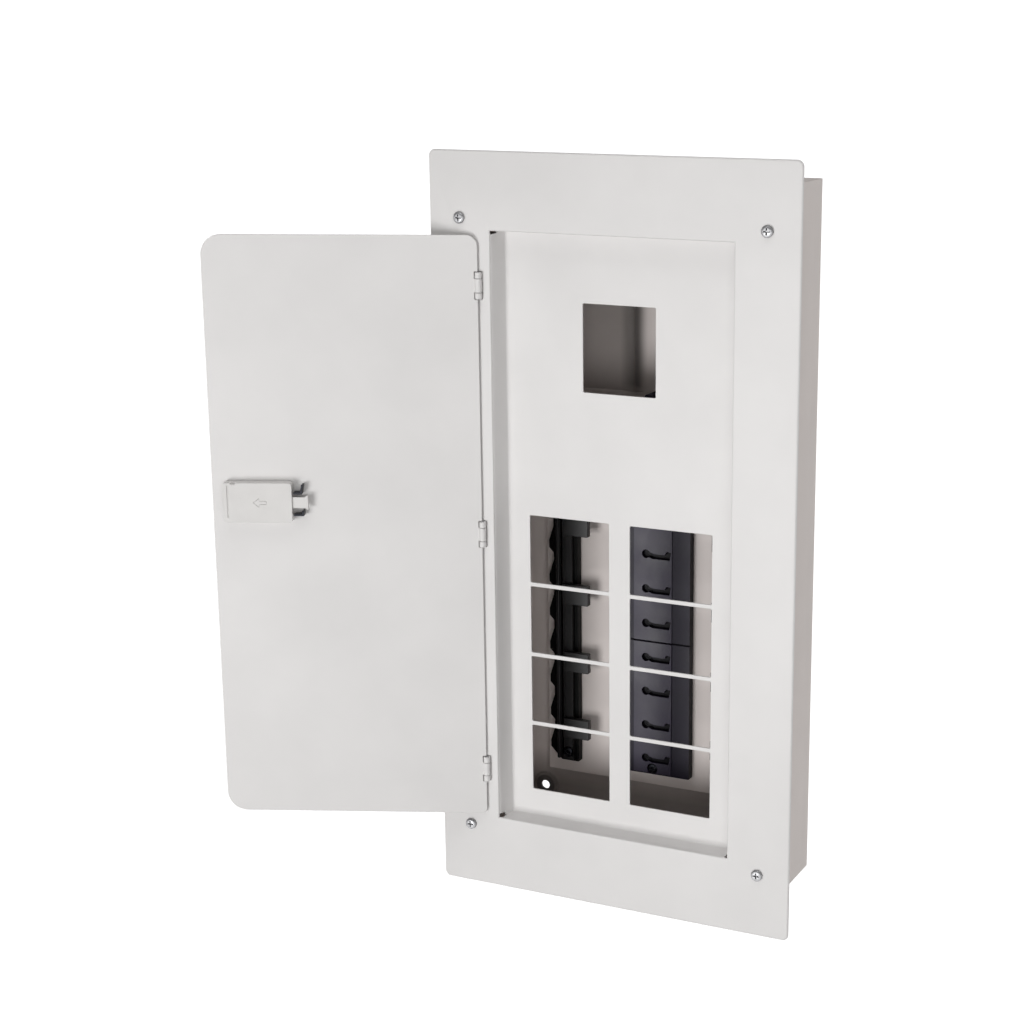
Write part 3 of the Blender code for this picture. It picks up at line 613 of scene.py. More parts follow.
def build_enclosure():
    gauge = mm("box_sheet")
    x1, z1 = BOX_HIGH.x / MM, BOX_HIGH.z / MM
    front = BOX_LOW.y / MM + DEPTH
    bend = 2.2

    # The wrapper is one sheet: a lip, a side, the back, the other side and its lip.
    half = [(x1 - LIP, front)] + arc(x1 - bend, front + bend, bend, -90, 0) + arc(x1 - bend, BACK - bend, bend, 0, 90)
    inside = bend - gauge
    inner = [(x1 - LIP, front + gauge)] + arc(x1 - bend, front + bend, inside, -90, 0) + \
        arc(x1 - bend, BACK - bend, inside, 0, 90)
    outline = half + [(-x, y) for x, y in reversed(half)] + [(-x, y) for x, y in inner] + list(reversed(inner))
    wrapper = solid(plate, outline, (-z1, z1), "z")

    spots = [(sx * WALL_X, sz * WALL_Z) for sx in (-1, 1) for sz in (-1, 1)]
    pads = [(lathe, (x, BACK - gauge + 0.4, z), (0, -1, 0), [(0, 10), (0.6, 9.8), (1.5, 8.0), (1.6, 7.4)], 32)
            for x, z in spots]
    fuse(wrapper, solid(pads))
    dips = [(lathe, (x, BACK + 1, z), (0, -1, 0), [(0, 9), (1, 8.8), (1.9, 7.2), (2.0, 6.8)], 32) for x, z in spots]
    holes = [(tube, (x, BACK - 8, z), (0, 1, 0), 14, 3.3) for x, z in spots]
    for side in (-1, 1):
        holes += [(tube, (side * HOLE_X, front - 2, sz * HOLE_Z), (0, 1, 0), 5, 2.05, 0, 16) for sz in (-1, 1)]
    # Spot welds join the wrapper to the end plates.
    welds = [(lathe, (side * (x1 + 0.6), y, sz * (z1 - 5.5)), (-side, 0, 0), [(0, 2.6), (0.6, 2.4), (0.72, 1.2)], 20)
             for side in (-1, 1) for y in (14, 34, 54, 74) for sz in (-1, 1)]
    cut(wrapper, solid(dips), solid(holes), solid(welds))
    for x in (-40, 40):
        cut(wrapper, *knockout((x, BACK - 0.6, 205), (0, 1, 0), (11.1,)))
    settle(wrapper, "box_wrapper", "box_enamel", "box_enamel", "back_box", edge=0.3)

    # Each end is a plate with a front lip, set between the wrapper's sides.
    for name, sz in (("top", 1), ("bottom", -1)):
        reach = x1 - gauge - 0.15
        rear = BACK - gauge - 0.2
        outline = [(front + 0.05, z1 - LIP)] + arc(front + 2.05, z1 - 2, 2, 90, 180)[::-1] + \
            [(rear, z1), (rear, z1 - gauge)] + arc(front + 2.05, z1 - 2, 2 - gauge, 90, 180) + \
            [(front + 0.05 + gauge, z1 - LIP)]
        end = solid(plate, outline, (-reach, reach), "x")
        for side in (-1, 1):
            cut(end, solid(block, (side * (x1 - LIP - 0.15), side * (x1 + 5)), (front - 3, front + 2.2),
                           (z1 - LIP - 5, z1 + 5)))
        flanges = solid([(block, (side * reach, side * (reach - gauge)), (front + 4, BACK - gauge - 3),
                          (z1 - 12, z1 - 0.4)) for side in (-1, 1)])
        fuse(end, flanges)
        for x, radii in ((-82, (11.1,)), (-46, (14.0, 11.1)), (0, (22.0, 17.5, 14.0)), (46, (14.0, 11.1)),
                         (82, (11.1,))):
            cut(end, *knockout((x, 46, z1 - 0.6), (0, 0, 1), radii))
        if sz < 0:
            end.data.transform(Matrix.Diagonal((1, 1, -1, 1)))
            end.data.flip_normals()
        settle(end, f"box_end_{name}", "box_enamel", "box_enamel", (), edge=0.3)


# ---------------------------------------------------------------- trim and dead front


def build_trim():
    sheet, corner, bend, mouth = mm("sheet"), mm("trim_corner"), mm("trim_bend"), mm("mouth_bend")
    x1, z1 = TRIM_HIGH.x / MM, TRIM_HIGH.z / MM
    flange = TRIM_HIGH.y / MM + DEPTH
    steps = 10
    bm = bmesh.new()

    def outer(inset, y):
        ring = rounded((-x1 + inset, x1 - inset), (-z1 + inset, z1 - inset), max(corner - inset, 1.5), steps)
        return [bm.verts.new(spot(x, y, z)) for x, z in ring]

    def inner(grow, y):
        return [bm.verts.new(spot(sx * (OPEN_X + grow), y, sz * (OPEN_Z + grow))) for sx, sz in CORNERS]

    skin = [outer(0, flange)] + [outer(bend - x, bend - y) for x, y in arc(0, 0, bend, 0, 90, 8)]
    lining = [outer(sheet, flange)] + [outer(bend - x, bend - y) for x, y in arc(0, 0, bend - sheet, 0, 90, 8)]
    lip = [inner(mouth - x, mouth - y) for x, y in reversed(arc(0, 0, mouth, 0, 90, 5))] + [inner(0, sheet + 0.22)]
    tuck = [inner(mouth + 0.1, sheet), inner(mouth, sheet + 0.22)]

    for layers in (skin, lining, lip, tuck):
        for a, b in zip(layers, layers[1:]):
            band(bm, a, b)
    band(bm, skin[0], lining[0])
    band(bm, lip[-1], tuck[-1])
    for ring, opening in ((skin[-1], lip[0]), (lining[-1], tuck[0])):
        for quarter in range(4):
            fan = ring[quarter * (steps + 1):(quarter + 1) * (steps + 1)]
            for a, b in zip(fan, fan[1:]):
                bm.faces.new((a, b, opening[quarter]))
            bm.faces.new((fan[-1], ring[((quarter + 1) * (steps + 1)) % len(ring)], opening[(quarter + 1) % 4],
                          opening[quarter]))
    bmesh.ops.recalc_face_normals(bm, faces=bm.faces)
    trim = finished(bm)
    slots = [(plate, rounded((AXIS_X - 2.1, AXIS_X + 1.9), (z - 9.4, z + 9.4), 0.5, 3), (-3, 4)) for z in HINGE_Z]
    holes = [(tube, (sx * HOLE_X, -3, sz * HOLE_Z), (0, 1, 0), 8, 2.4) for sx in (-1, 1) for sz in (-1, 1)]
    cut(trim, solid(slots), solid(holes))
    settle(trim, "trim_sheet", "trim_enamel", "white_enamel", "trim_frame", edge=mm("edge") / 2)


def build_dead_front():
    sheet, recess, bend = mm("sheet"), mm("recess"), mm("recess_bend")
    top, flange, turn = 1.5, 10.3, 0.6  # the flange's front face, its reach, and the bend into the recess
    lean = mm("recess_draft") / recess

    def ring(grow, y):
        return [(sx * (OPEN_X + grow - lean * y), y, sz * (OPEN_Z + grow)) for sx, sz in CORNERS]

    face = [ring(flange, top), ring(turn, top)]
    face += [ring(turn * (1 - math.sin(t)), top + turn * (1 - math.cos(t))) for t in (math.pi / 4, math.pi / 2)]
    face += [ring(-(bend - x), recess - bend + y) for x, y in arc(0, 0, bend, 0, 90, 5)]
    rear = [ring(sheet - (bend + sheet - x), recess - bend + y) for x, y in arc(0, 0, bend + sheet, 90, 0, 5)]
    rear += [ring(sheet, top + sheet), ring(flange, top + sheet)]
    bm = bmesh.new()
    loops = [[bm.verts.new(spot(*p)) for p in points] for points in face + rear]
    for i, (a, b) in enumerate(zip(loops, loops[1:] + loops[:1])):
        if i == len(face) - 1:  # the plate's own two sides
            bm.faces.new(a)
            bm.faces.new(b)
        else:
            band(bm, a, b)
    bmesh.ops.recalc_face_normals(bm, faces=bm.faces)
    pan = finished(bm)

    through = (recess - 4, recess + 6)
    windows = []
    for sx in (-1, 1):
        for row in range(4):
            head = 12.4 - row * 2 * POLE
            windows.append((plate, rounded(sorted((sx * 7.8, sx * 67.8)), (head - 48, head), 0.9, 4), through))
    windows.append((plate, rounded((-26.5, 26.5), (101.2, 161.0), 0.9, 4), through))
    notches = [(block, (AXIS_X - 8, -OPEN_X - sheet - 0.01), (0, 6), (z - 12, z + 12)) for z in HINGE_Z]
    strike = (block, (OPEN_X - 4, OPEN_X + 20), (0, 9), (LATCH_Z - 14, LATCH_Z + 14))
    reliefs = [(tube, (sx * (OPEN_X + 0.1), 1.3, sz * (OPEN_Z + 0.1)), (0, 1, 0), 6.5, 2.4)
               for sx in (-1, 1) for sz in (-1, 1)]
    cut(pan, solid(windows), solid(notches), solid(*strike), solid(reliefs))
    settle(pan, "dead_front_pan", "trim_enamel", "white_enamel", "dead_front", edge=mm("edge") * 0.8)


# ---------------------------------------------------------------- door, hinges and latch


def build_door():
    inside = DOOR_Y + mm("sheet")
    outline = rounded((AXIS_X + 0.4, AXIS_X + 186.0), (-204.8, 204.8), (14.0, 8.0, 4.0, 14.0), 14)
    skin = solid(plate, outline, (DOOR_Y, inside))
    notches = [(block, (AXIS_X - 4, AXIS_X + 2.9), (DOOR_Y - 2, 3), (z - 9.4, z + 9.4)) for z in HINGE_Z]
    pull = rounded((AXIS_X + 138, AXIS_X + 168), (LATCH_Z - 8.5, LATCH_Z + 8.5), 1.6, 5)
    cut(skin, solid(notches), solid(plate, pull, (DOOR_Y - 2, inside + 2)))
    webs = [(block, (AXIS_X + 1.4, AXIS_X + 3.6), (DOOR_Y, inside), (z - 4.6, z + 4.6)) for z in HINGE_Z]
    rolls = [(tube, (AXIS_X, AXIS_Y, z - 4.6), (0, 0, 1), 9.2, KNUCKLE, 0, 28) for z in HINGE_Z]
    fuse(skin, solid(webs), solid(rolls))
    cut(skin, solid([(tube, (AXIS_X, AXIS_Y, z - 6), (0, 0, 1), 12, BORE) for z in HINGE_Z]))
    settle(skin, "door_sheet", "trim_enamel", "white_enamel", "door_panel", body="door", edge=0.4, segments=3,
           turn=door_turn())


def build_hinges():
    left = BOX_LOW.x / MM + 11.8
    for place, z in HINGES:
        leaf = solid(plate, rounded((left, AXIS_X + 1.4), (z - 9, z + 9), 0.8, 4), (1.5, 2.5))
        webs, barrels = [], []
        for low, first, last in ((z - 9, 1.9, KNUCKLE), (z + 4.9, KNUCKLE, 1.9)):
            webs.append((block, (AXIS_X - 1.6, AXIS_X + 1.4), (AXIS_Y, 2.1), (low, low + 4.1)))
            profile = [(0, first), (0.5, KNUCKLE), (3.6, KNUCKLE), (4.1, last)]
            barrels.append((lathe, (AXIS_X, AXIS_Y, low), (0, 0, 1), profile, 28))
        fuse(leaf, solid(webs), solid(barrels))
        cut(leaf, solid(tube, (AXIS_X, AXIS_Y, z - 11), (0, 0, 1), 22, BORE))
        settle(leaf, f"hinge_{place}", "trim_enamel", "white_enamel", f"hinge_leaf_{place}", edge=0.15)
        ends = [(-9.4, 0.6), (-9.25, 0.95), (-9.0, 1.2), (9.0, 1.2), (9.25, 0.95), (9.4, 0.6)]
        settle(solid(lathe, (AXIS_X, AXIS_Y, z), (0, 0, 1), ends, 24), f"hinge_wire_{place}", "bright_zinc", "zinc",
               f"hinge_pin_{place}", edge=0)


def build_latch():
    inside = DOOR_Y + mm("sheet")
    s0, s1 = AXIS_X + 129.5, AXIS_X + 176.7
    low, high = LATCH_Z - 13.8, LATCH_Z + 13.8
    turn = door_turn()
    housing = solid(plate, rounded((s0, s1), (low, high), (1.2, 2.2, 2.2, 1.2), 5), (inside + 0.3, 6.6))
    tunnel = (block, (s0 - 2, s1 + 2), (inside - 1, 5.4), (LATCH_Z - 8.6, LATCH_Z + 8.6))
    groove = (plate, rounded((s1 - 3.4, s1 - 2.6), (low + 3, high - 2), 0.35, 3), (6.1, 8))
    notch = (block, (s1 - 8.5, s1 - 5.0), (3.5, 8), (high - 1.2, high + 1))
    middle = (s0 + s1) / 2 - 2
    # A plain sunk arrow shows which way the bolt slides.
    arrow = [(middle - 4, -1.1), (middle + 1, -1.1), (middle + 1, -3.2), (middle + 5, 0), (middle + 1, 3.2),
             (middle + 1, 1.1), (middle - 4, 1.1)]
    cut(housing, solid(*tunnel), solid([groove, notch, (plate, [(x, z + LATCH_Z) for x, z in arrow], (6.3, 8))]))
    settle(housing, "latch_case", "latch_plastic", "latch_plastic", "latch_housing", body="door", edge=0.35,
           segments=3, turn=turn)

    tail, tip = AXIS_X + 118.7, AXIS_X + 175.6
    bolt = solid(block, (s0 + 0.6, tip), (2.4, 5.1), (LATCH_Z - 8.2, LATCH_Z + 8.2))
    tongue = [(tail, -5.2), (tail + 2.4, -3.8), (s0 + 2, -3.8), (s0 + 2, 3.8), (tail + 2.4, 3.8), (tail, 5.2)]
    fuse(bolt, solid(plate, [(x, z + LATCH_Z) for x, z in tongue], (2.4, 5.1)),
         solid(plate, rounded((AXIS_X + 140, AXIS_X + 157), (LATCH_Z - 7.5, LATCH_Z + 7.5), 1.6, 5), (-6.2, 3.0)))
    ramp = [(tip - 3.0, 5.6), (tip + 0.5, 5.6), (tip + 0.5, 3.6), (tip, 3.6)]
    ribs = [(block, (AXIS_X + s, AXIS_X + s + 1.3), (-7, -5.4), (LATCH_Z - 9, LATCH_Z + 9)) for s in
            (143, 146.5, 150, 153.5)]
    cut(bolt, solid(plate, ramp, (LATCH_Z - 12, LATCH_Z + 12), "z"), solid(ribs))
    settle(bolt, "latch_slider", "latch_plastic", "latch_plastic", "latch_bolt", body="latch", edge=0.25, turn=turn)

    root = s0 + 0.6
    upper = [(root, 5.6), (tail + 5.4, 5.6), (tail + 4.4, 12.4), (tail + 5.8, 12.4), (tail + 6.7, 7.0), (root, 7.0)]
    lower = [(root, 9.6), (tail + 4.4, 9.6), (tail + 4.4, 5.6), (tail + 5.8, 5.6), (tail + 5.8, 8.2), (root, 8.2)]
    for place, sign, path in (("upper", 1, upper), ("lower", -1, lower)):
        spring = solid(plate, [(x - 1.2, LATCH_Z + sign * dz) for x, dz in path], (inside + 0.3, 4.6))
        settle(spring, f"latch_catch_{place}", "spring_steel", "spring_steel", f"latch_spring_{place}", body="door",
               edge=0.3, segments=3, turn=turn)


# ---------------------------------------------------------------- interior


def build_pan():
    pan = solid(block, (-87, 87), (PAN_Y, PAN_Y + 1.2), (-197, NECK_Z))
    # The neck's sides roll back towards the enclosure.
    rim, under = arc(10, PAN_Y + 13, 13, -90, -30, 10), arc(10, PAN_Y + 13, 11.8, -30, -90, 10)
    profile = [(-x, y) for x, y in reversed(rim)] + rim + under + [(-x, y) for x, y in reversed(under)]
    neck = solid(plate, profile, (NECK_Z - 1, 176), "z")
    feet = solid([(block, (sx * 87, sx * 85.8), (PAN_Y, BACK - 1.8), (-197, NECK_Z)) for sx in (-1, 1)])
    fuse(pan, neck, feet)
    cut(pan, solid([(tube, (x, PAN_Y - 3, z), (0, 1, 0), 8, 2.0, 0, 16)
                    for x, z in PAN_SCREWS + BASE_SCREWS + RAIL_SCREWS]))
    settle(pan, "bus_pan", "pan_enamel", "pan_enamel", "interior_pan", edge=0.35)


def build_bus():
    back = PAN_Y - 0.3
    base = solid(block, (-28.2, 28.2), (BASE_Y + 1.0, back), (-186.5, 18))
    fuse(base, solid(block, (-14.7, 14.7), (BASE_Y, back - 0.5), (-185.3, 17)),
         solid(plate, rounded((-3, 3), (16, 93.5), (1.5, 1.5, 0.1, 0.1), 4), (BASE_Y - 8, back)))
    channels = [(block, (sx * 13.4, sx * 25.6), (PAN_Y - 3.4, PAN_Y + 2), (-180, 20)) for sx in (-1, 1)]
    # Each pole has a slot with a round end; one seam runs across above the fifth.
    slot = [(-4.5, 2.4), (1.0, 1.1), (9.2, 1.1), (10.6, 3.6), (14.0, 3.4), (12.8, -2.3), (-0.5, -2.3), (-6.2, 0)]
    poles = [2.9 - pole * POLE for pole in range(8)]
    rounds = [(tube, (-5.2, BASE_Y - 2, z + 0.8), (0, 1, 0), 5.2, 3.0) for z in poles]
    slots = [(plate, [(x, z + dz) for x, dz in slot], (BASE_Y - 2, BASE_Y + 3.4)) for z in poles]
    seam = (block, (-32, 32), (BASE_Y - 1, BASE_Y + 2.2), (poles[4] + 12.2, poles[4] + 13.2))
    holes = [(tube, (x, BASE_Y - 3, z), (0, 1, 0), 14, 2.1, 0, 16) for x, z in BASE_SCREWS]
    wells = [(tube, (x, BASE_Y - 3, z), (0, 1, 0), 5.4, 4.0) for x, z in BASE_SCREWS]
    cut(base, solid(channels), solid(rounds), solid(slots), solid(*seam), solid(holes), solid(wells))
    settle(base, "bus_moulding", "thermoset", "black_moulding", "bus_base", edge=0.25, split=True)
    for name, side in SIDES:
        bar = solid(block, (side * 14, side * 25), (PAN_Y - 3, back), (-178, 26))
        fuse(bar, solid(block, (side * 14, side * 25), (BASE_Y - 4, back), (22, 26)),
             solid(block, (side * 8, side * 25), (BASE_Y - 6, BASE_Y - 3), (22, 84)))
        cut(bar, solid(tube, (side * 16.5, BASE_Y - 8, 72), (0, 1, 0), 8, 3.2))
        settle(bar, f"bus_{name}", "tin_plate", "tinned_bus", f"bus_bar_{name}", edge=0.5, segments=3)


def build_rails():
    back = PAN_Y - 0.3
    for name, side in SIDES:
        outline = [(59.6, 40.0), (59.6, -186.5), (73.4, -186.5), (82.4, -177.5), (82.4, -172.5)]
        for pole in range(7, -1, -1):
            z = 25.1 - pole * POLE
            outline += [(79, z - 9.5), (79, z - 3.5), (82.4, z), (82.4, z + 5.6)]
        outline.append((79.4, 40.0))
        rail = solid(plate, [(side * x, z) for x, z in outline], (BASE_Y + 1.5, back))
        hooks = [(block, (side * 47.5, side * 68), (BASE_Y - 7, BASE_Y - 2.5), (z - 7.3, z + 7.3))
                 for z in (44.9 - row * 2 * POLE for row in range(5))]
        fuse(rail, solid(block, (side * 62, side * 75), (RAIL_Y, BASE_Y + 3), (-184, 38)), solid(hooks))
        screws = [z for x, z in RAIL_SCREWS if x * side > 0]
        cut(rail, solid(block, (side * 70, side * 72.6), (BASE_Y - 9, BASE_Y - 1.6), (-190, 45)),
            solid([(tube, (side * 66, BASE_Y - 9, z), (0, 1, 0), 22, 2.1, 0, 16) for z in screws]),
            solid([(tube, (side * 66, BASE_Y - 12, z), (0, 1, 0), 10.2, 3.9) for z in screws]))
        settle(rail, f"rail_{name}", "rail_black", "black_moulding", f"breaker_rail_{name}", edge=0.5, segments=3,
               split=True)


def terminal_bar(name, node, x, z, count, depth):
    """A bar with a wire hole and a tapped hole at each station."""
    front, back = depth
    bar = solid(block, (x - 5, x + 5), depth, z)
    pitch = (z[1] - z[0]) / count
    centres = [z[0] + pitch * (i + 0.5) for i in range(count)]
    cut(bar, solid([(tube, (x - 10, (front + back) / 2 + 0.8, c), (1, 0, 0), 20, 2.4, 0, 20) for c in centres]),
        solid([(tube, (x, front - 2, c), (0, 1, 0), 2 + (back - front) / 2, 2.1, 0, 20) for c in centres]))
    settle(bar, name, "extruded_bar", "aluminium_bar", node, edge=0.3)
    return centres[::2]


def build_terminals():
    front = 60.0
    for i, z in enumerate(terminal_bar("neutral_terminals", "neutral_bar", 100.5, (-150, 30), 12, (front, front + 9))):
        screw(f"neutral_set_screw_{i + 1}", f"neutral_screw_{i + 1}", (100.5, front - 1.2, z), 2.9, 1.8, 4.4, "slot")
    for i, z in enumerate(terminal_bar("ground_terminals", "ground_bar", -104.5, (40, 140), 8, (70, 78))):
        screw(f"ground_set_screw_{i + 1}", f"ground_screw_{i + 1}", (-104.5, 68.8, z), 2.9, 1.8, 3.6, "slot")
    lug = solid(block, (91, 110), (front - 16, front - 0.3), (44, 66))
    fuse(lug, solid(block, (96, 105), (front - 4, front - 0.3), (20, 45)))
    cut(lug, solid(tube, (100.5, front - 8, 40), (0, 0, 1), 30, 6.0, 0, 32),
        solid(tube, (100.5, front - 20, 55), (0, 1, 0), 8, 4.3))
    settle(lug, "neutral_lug_body", "extruded_bar", "aluminium_bar", "neutral_lug", edge=0.8, segments=3)
    screw("lug_set_screw", "neutral_lug_screw", (100.5, front - 17, 55), 5.4, 3.0, 2.2, "slot", shank_r=4.0)
    screw("bonding_set_screw", "bonding_screw", (100, BACK - 3.5, -125), 4.0, 2.0, 1.4, "slot",
          finish=("green_plate", "green_screw"))
    for node, material, edge in (("neutral_insulator_upper", "natural_nylon", 0.5),
                                 ("neutral_insulator_lower", "natural_nylon", 0.5), ("bonding_strap", "tin_plate", 0.3),
                                 ("ground_foot_upper", "bright_zinc", 0.3), ("ground_foot_lower", "bright_zinc", 0.3)):
        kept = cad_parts[node]
        kept.data.materials.clear()
        kept.data.materials.append(FINISHES[material]())
        ease(kept, edge, 2, 40)


# ---------------------------------------------------------------- screws


def screw(name, node, seat, head_r, head_h, shank, drive, shank_r=1.9, finish=("bright_zinc", "zinc")):
    """A pan-head screw whose head sits in front of seat, with rolled thread on the shank behind it."""
    pitch = 0.8
    profile = [(-shank, shank_r * 0.6), (-shank + 0.5, shank_r * 0.85)]
    turns = int((shank - 0.9) / pitch)
    for i in range(turns):
        at = -shank + 0.6 + i * pitch
        profile += [(at, shank_r * 0.82), (at + pitch * 0.5, shank_r)]
    profile += [(-0.05, shank_r * 0.9), (0.0, head_r * 0.93), (head_h * 0.12, head_r)]
    dome = [(head_h * (0.4 + 0.6 * math.sin(t)), head_r * (0.5 + 0.5 * math.cos(t))) for t in
            (math.radians(a) for a in (0, 18, 36, 54, 72, 90))]
    made = solid(lathe, seat, (0, -1, 0), profile + dome + [(head_h, head_r * 0.2)], 28)
    x, y, z = seat
    top, deep = y - head_h, y - head_h * 0.28
    if drive == "cross":
        def star(reach, wide, at):
            arms = [(reach, -wide), (reach, wide), (wide, wide), (wide, reach), (-wide, reach), (-wide, wide),
                    (-reach, wide), (-reach, -wide), (-wide, -wide), (-wide, -reach), (wide, -reach), (wide, -wide)]
            return [(x + a, at, z + b) for a, b in arms]
        cut(made, solid(loft, [star(head_r * 0.62, 0.5, top - 0.3), star(head_r * 0.3, 0.28, deep)]))
    else:
        wide = head_r * 1.4
        cut(made, solid(block, (x - wide, x + wide), (top - 0.5, y - head_h * 0.45), (z - 0.45, z + 0.45)))
    settle(made, name, *finish, node, edge=0.1)


def build_screws():
    for vertical, sz in (("top", 1), ("bottom", -1)):
        for side, sx in SIDES:
            screw(f"cover_screw_{vertical}_{side}", f"trim_screw_{vertical}_{side}", (sx * HOLE_X, -0.3, sz * HOLE_Z),
                  4.0, 2.2, 9.0, "cross")
    for i, (x, z) in enumerate(PAN_SCREWS):
        screw(f"pan_fixing_{i + 1}", f"pan_screw_{i + 1}", (x, PAN_Y - 0.3, z), 4.0, 2.0, 5.0, "cross", shank_r=1.7)
    dark = ("spring_steel", "spring_steel")
    for i, (x, z) in enumerate(BASE_SCREWS):
        screw(f"base_fixing_{i + 1}", f"base_screw_{i + 1}", (x, BASE_Y + 2.1, z), 3.6, 1.8, 9.0, "cross", shank_r=1.7,
              finish=dark)
    for i, (x, z) in enumerate(RAIL_SCREWS):
        screw(f"rail_fixing_{i + 1}", f"rail_screw_{i + 1}", (x, BASE_Y - 2.1, z), 3.5, 1.8, 13.5, "cross", shank_r=1.7,
              finish=dark)


# ---------------------------------------------------------------- stage


def light(name, watts, size, place, aim):
    lamp = bpy.data.lights.new(name, "AREA")
    lamp.energy, lamp.shape, lamp.size, lamp.size_y = watts, "RECTANGLE", size[0], size[1]
    made = bpy.data.objects.new(name, lamp)
    bpy.context.scene.collection.objects.link(made)
    made.location = place
    made.rotation_euler = (Vector(aim) - Vector(place)).to_track_quat("-Z", "Y").to_euler()


def build_stage():
    scene = bpy.context.scene
    stage = scene.load_center_stage
    bm = bmesh.new()
    bmesh.ops.create_circle(bm, cap_ends=True, segments=96, radius=60)
    floor = finished(bm, "floor")
    floor.location.z = -stage.floor_drop
    floor.data.materials.append(floor_paint())
    floor.visible_diffuse = floor.visible_shadow = False

    world = bpy.data.worlds.new("studio")
    world.use_nodes = True
    scene.world = world
    tree = world.node_tree
    # A white backdrop stands behind the load center, and the rest of the room is dimmer.
    way = add(tree, "ShaderNodeTexCoord").outputs["Generated"]
    toward = axes(tree, way)
    around = spread(tree, toward["Y"], stage.walls, 1.15, 0.0, 0.35)
    lower = spread(tree, toward["Z"], stage.bounce, around, -0.2, -0.05)
    strength = spread(tree, toward["Z"], lower, stage.sky, 0.02, 0.4)
    tree.nodes["Background"].inputs["Color"].default_value = (1.0, 0.995, 0.985, 1)
    tree.links.new(strength, tree.nodes["Background"].inputs["Strength"])

    light("key", stage.key, (0.9, 0.9), (-0.45, -2.15, -0.4), (0, 0, 0))
    light("fill", stage.fill, (0.6, 0.6), (0.75, -1.35, 0.05), (0, 0, 0.05))
    light("side", stage.side, (0.8, 0.8), (1.5, 0.45, -0.2), (0.1, 0, 0))
    light("top", stage.top, (1.2, 0.8), (0.1, -0.75, 1.5), (0, 0, 0))

    camera = bpy.data.objects.new("camera", bpy.data.cameras.new("camera"))
    scene.collection.objects.link(camera)
    camera.location = (0.5557, -1.2710, 0.3434)
    camera.rotation_euler = (math.radians(75.86), 0, math.radians(24.6))
    camera.data.sensor_width, camera.data.lens = 36.0, 70.93
    camera.data.shift_x, camera.data.shift_y = -0.1141, 0.0152
    camera.data.clip_start, camera.data.clip_end = 0.05, 200
    scene.camera = camera
    scene.view_settings.view_transform = "Standard"


# ---------------------------------------------------------------- add-on


class LOADCENTER_OT_enclosure(bpy.types.Operator):
    """Fold the enclosure from a wrapper and two end plates, with knockouts and wall-screw pads"""

    bl_idname = "load_center.enclosure"
    bl_label = "Enclosure"

    def execute(self, context):
        build_enclosure()
        return {"FINISHED"}


class LOADCENTER_OT_trim(bpy.types.Operator):
    """Form the trim sheet with its bent edges, hinge slots and screw holes"""

    bl_idname = "load_center.trim"
    bl_label = "Trim"

    def execute(self, context):
        build_trim()
        return {"FINISHED"}


class LOADCENTER_OT_dead_front(bpy.types.Operator):
    """Form the recess and the dead-front plate with its breaker windows"""

    bl_idname = "load_center.dead_front"
    bl_label = "Dead Front"

    def execute(self, context):
        build_dead_front()
        return {"FINISHED"}


class LOADCENTER_OT_door(bpy.types.Operator):
    """Form the door with its rolled knuckles and thumb slot"""

    bl_idname = "load_center.door"
    bl_label = "Door"

    def execute(self, context):
        build_door()
        return {"FINISHED"}


class LOADCENTER_OT_hinges(bpy.types.Operator):
    """Make the three frame hinges and their pins"""

    bl_idname = "load_center.hinges"
    bl_label = "Hinges"

    def execute(self, context):
        build_hinges()
        return {"FINISHED"}


class LOADCENTER_OT_latch(bpy.types.Operator):
    """Mould the latch case and bolt, and bend the two catch springs"""

    bl_idname = "load_center.latch"
    bl_label = "Latch"

    def execute(self, context):
        build_latch()
        return {"FINISHED"}


class LOADCENTER_OT_bus(bpy.types.Operator):
    """Make the interior pan, the moulded base and the two bus bars"""

    bl_idname = "load_center.bus"
    bl_label = "Bus and Pan"

    def execute(self, context):
        build_pan()
        build_bus()
        return {"FINISHED"}


class LOADCENTER_OT_rails(bpy.types.Operator):
    """Mould the two scalloped breaker rails with their hooks"""

    bl_idname = "load_center.rails"
    bl_label = "Breaker Rails"

    def execute(self, context):
        build_rails()
        return {"FINISHED"}


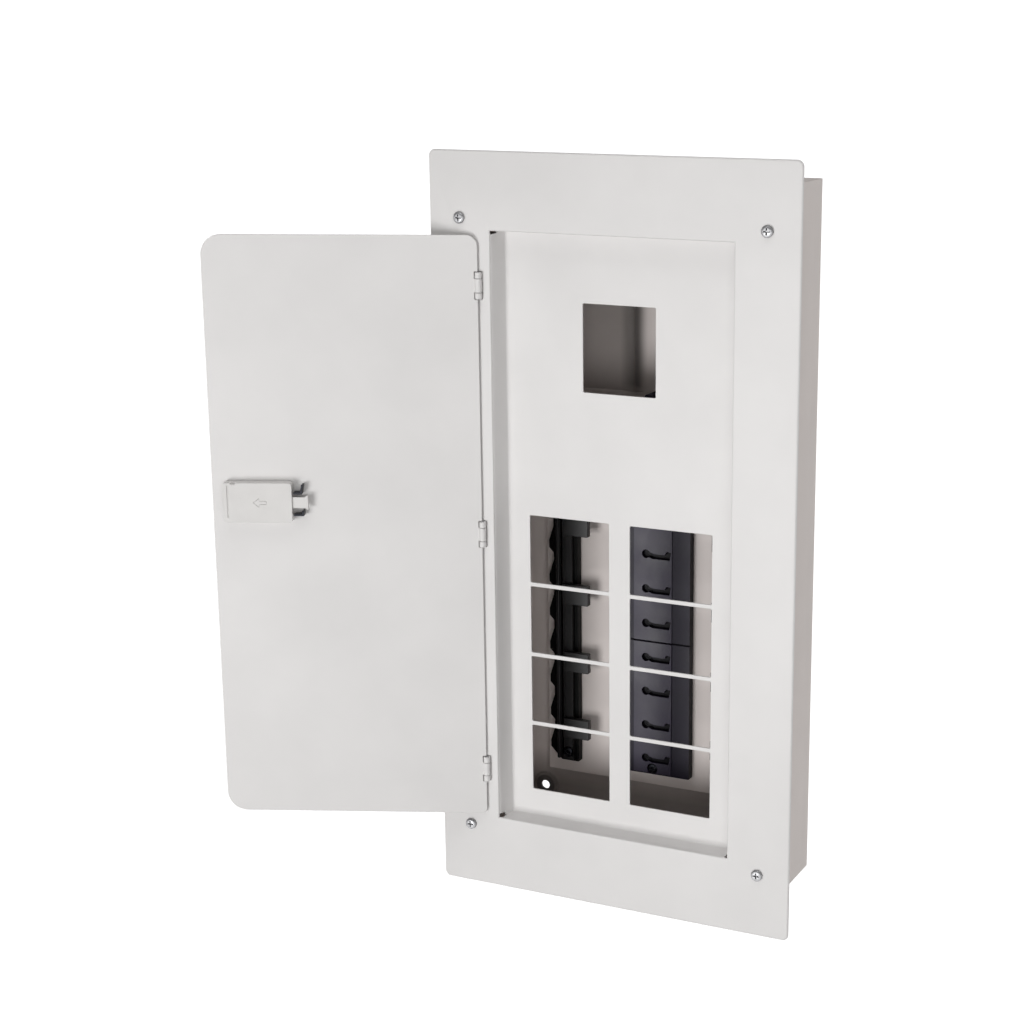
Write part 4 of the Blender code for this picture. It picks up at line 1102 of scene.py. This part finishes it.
class LOADCENTER_OT_terminals(bpy.types.Operator):
    """Make the neutral and ground bars, their set screws, the lug and the bonding strap"""

    bl_idname = "load_center.terminals"
    bl_label = "Terminals"

    def execute(self, context):
        build_terminals()
        return {"FINISHED"}


class LOADCENTER_OT_screws(bpy.types.Operator):
    """Turn the trim, pan, base and rail screws"""

    bl_idname = "load_center.screws"
    bl_label = "Screws"

    def execute(self, context):
        build_screws()
        return {"FINISHED"}


class LOADCENTER_OT_stage(bpy.types.Operator):
    """Lay the floor and set the studio light and the camera"""

    bl_idname = "load_center.stage"
    bl_label = "Stage"

    def execute(self, context):
        build_stage()
        return {"FINISHED"}


STEPS = (LOADCENTER_OT_enclosure, LOADCENTER_OT_trim, LOADCENTER_OT_dead_front, LOADCENTER_OT_door,
         LOADCENTER_OT_hinges, LOADCENTER_OT_latch, LOADCENTER_OT_bus, LOADCENTER_OT_rails, LOADCENTER_OT_terminals,
         LOADCENTER_OT_screws, LOADCENTER_OT_stage)
GROUPS = {"load_center_sizes": LoadCenterSizes, "load_center_finishes": LoadCenterFinishes,
          "load_center_stage": LoadCenterStage}


class LOADCENTER_PT_panel(bpy.types.Panel):
    """Sizes, finishes and building steps of the load center"""

    bl_idname = "LOADCENTER_PT_panel"
    bl_label = "Load Center"
    bl_space_type = "VIEW_3D"
    bl_region_type = "UI"
    bl_category = "Load Center"

    def draw(self, context):
        for group, kind in GROUPS.items():
            column = self.layout.column()
            for key in kind.__annotations__:
                column.prop(getattr(context.scene, group), key)
        for step in STEPS:
            self.layout.operator(step.bl_idname)


def register():
    for kind in (*GROUPS.values(), *STEPS, LOADCENTER_PT_panel):
        bpy.utils.register_class(kind)
    for name, kind in GROUPS.items():
        setattr(bpy.types.Scene, name, PointerProperty(type=kind))


def unregister():
    for name in GROUPS:
        delattr(bpy.types.Scene, name)
    for kind in (LOADCENTER_PT_panel, *reversed(STEPS), *GROUPS.values()):
        bpy.utils.unregister_class(kind)


def main():
    register()
    for step in STEPS:
        group, name = step.bl_idname.split(".")
        getattr(getattr(bpy.ops, group), name)()


if __name__ == "__main__":
    main()
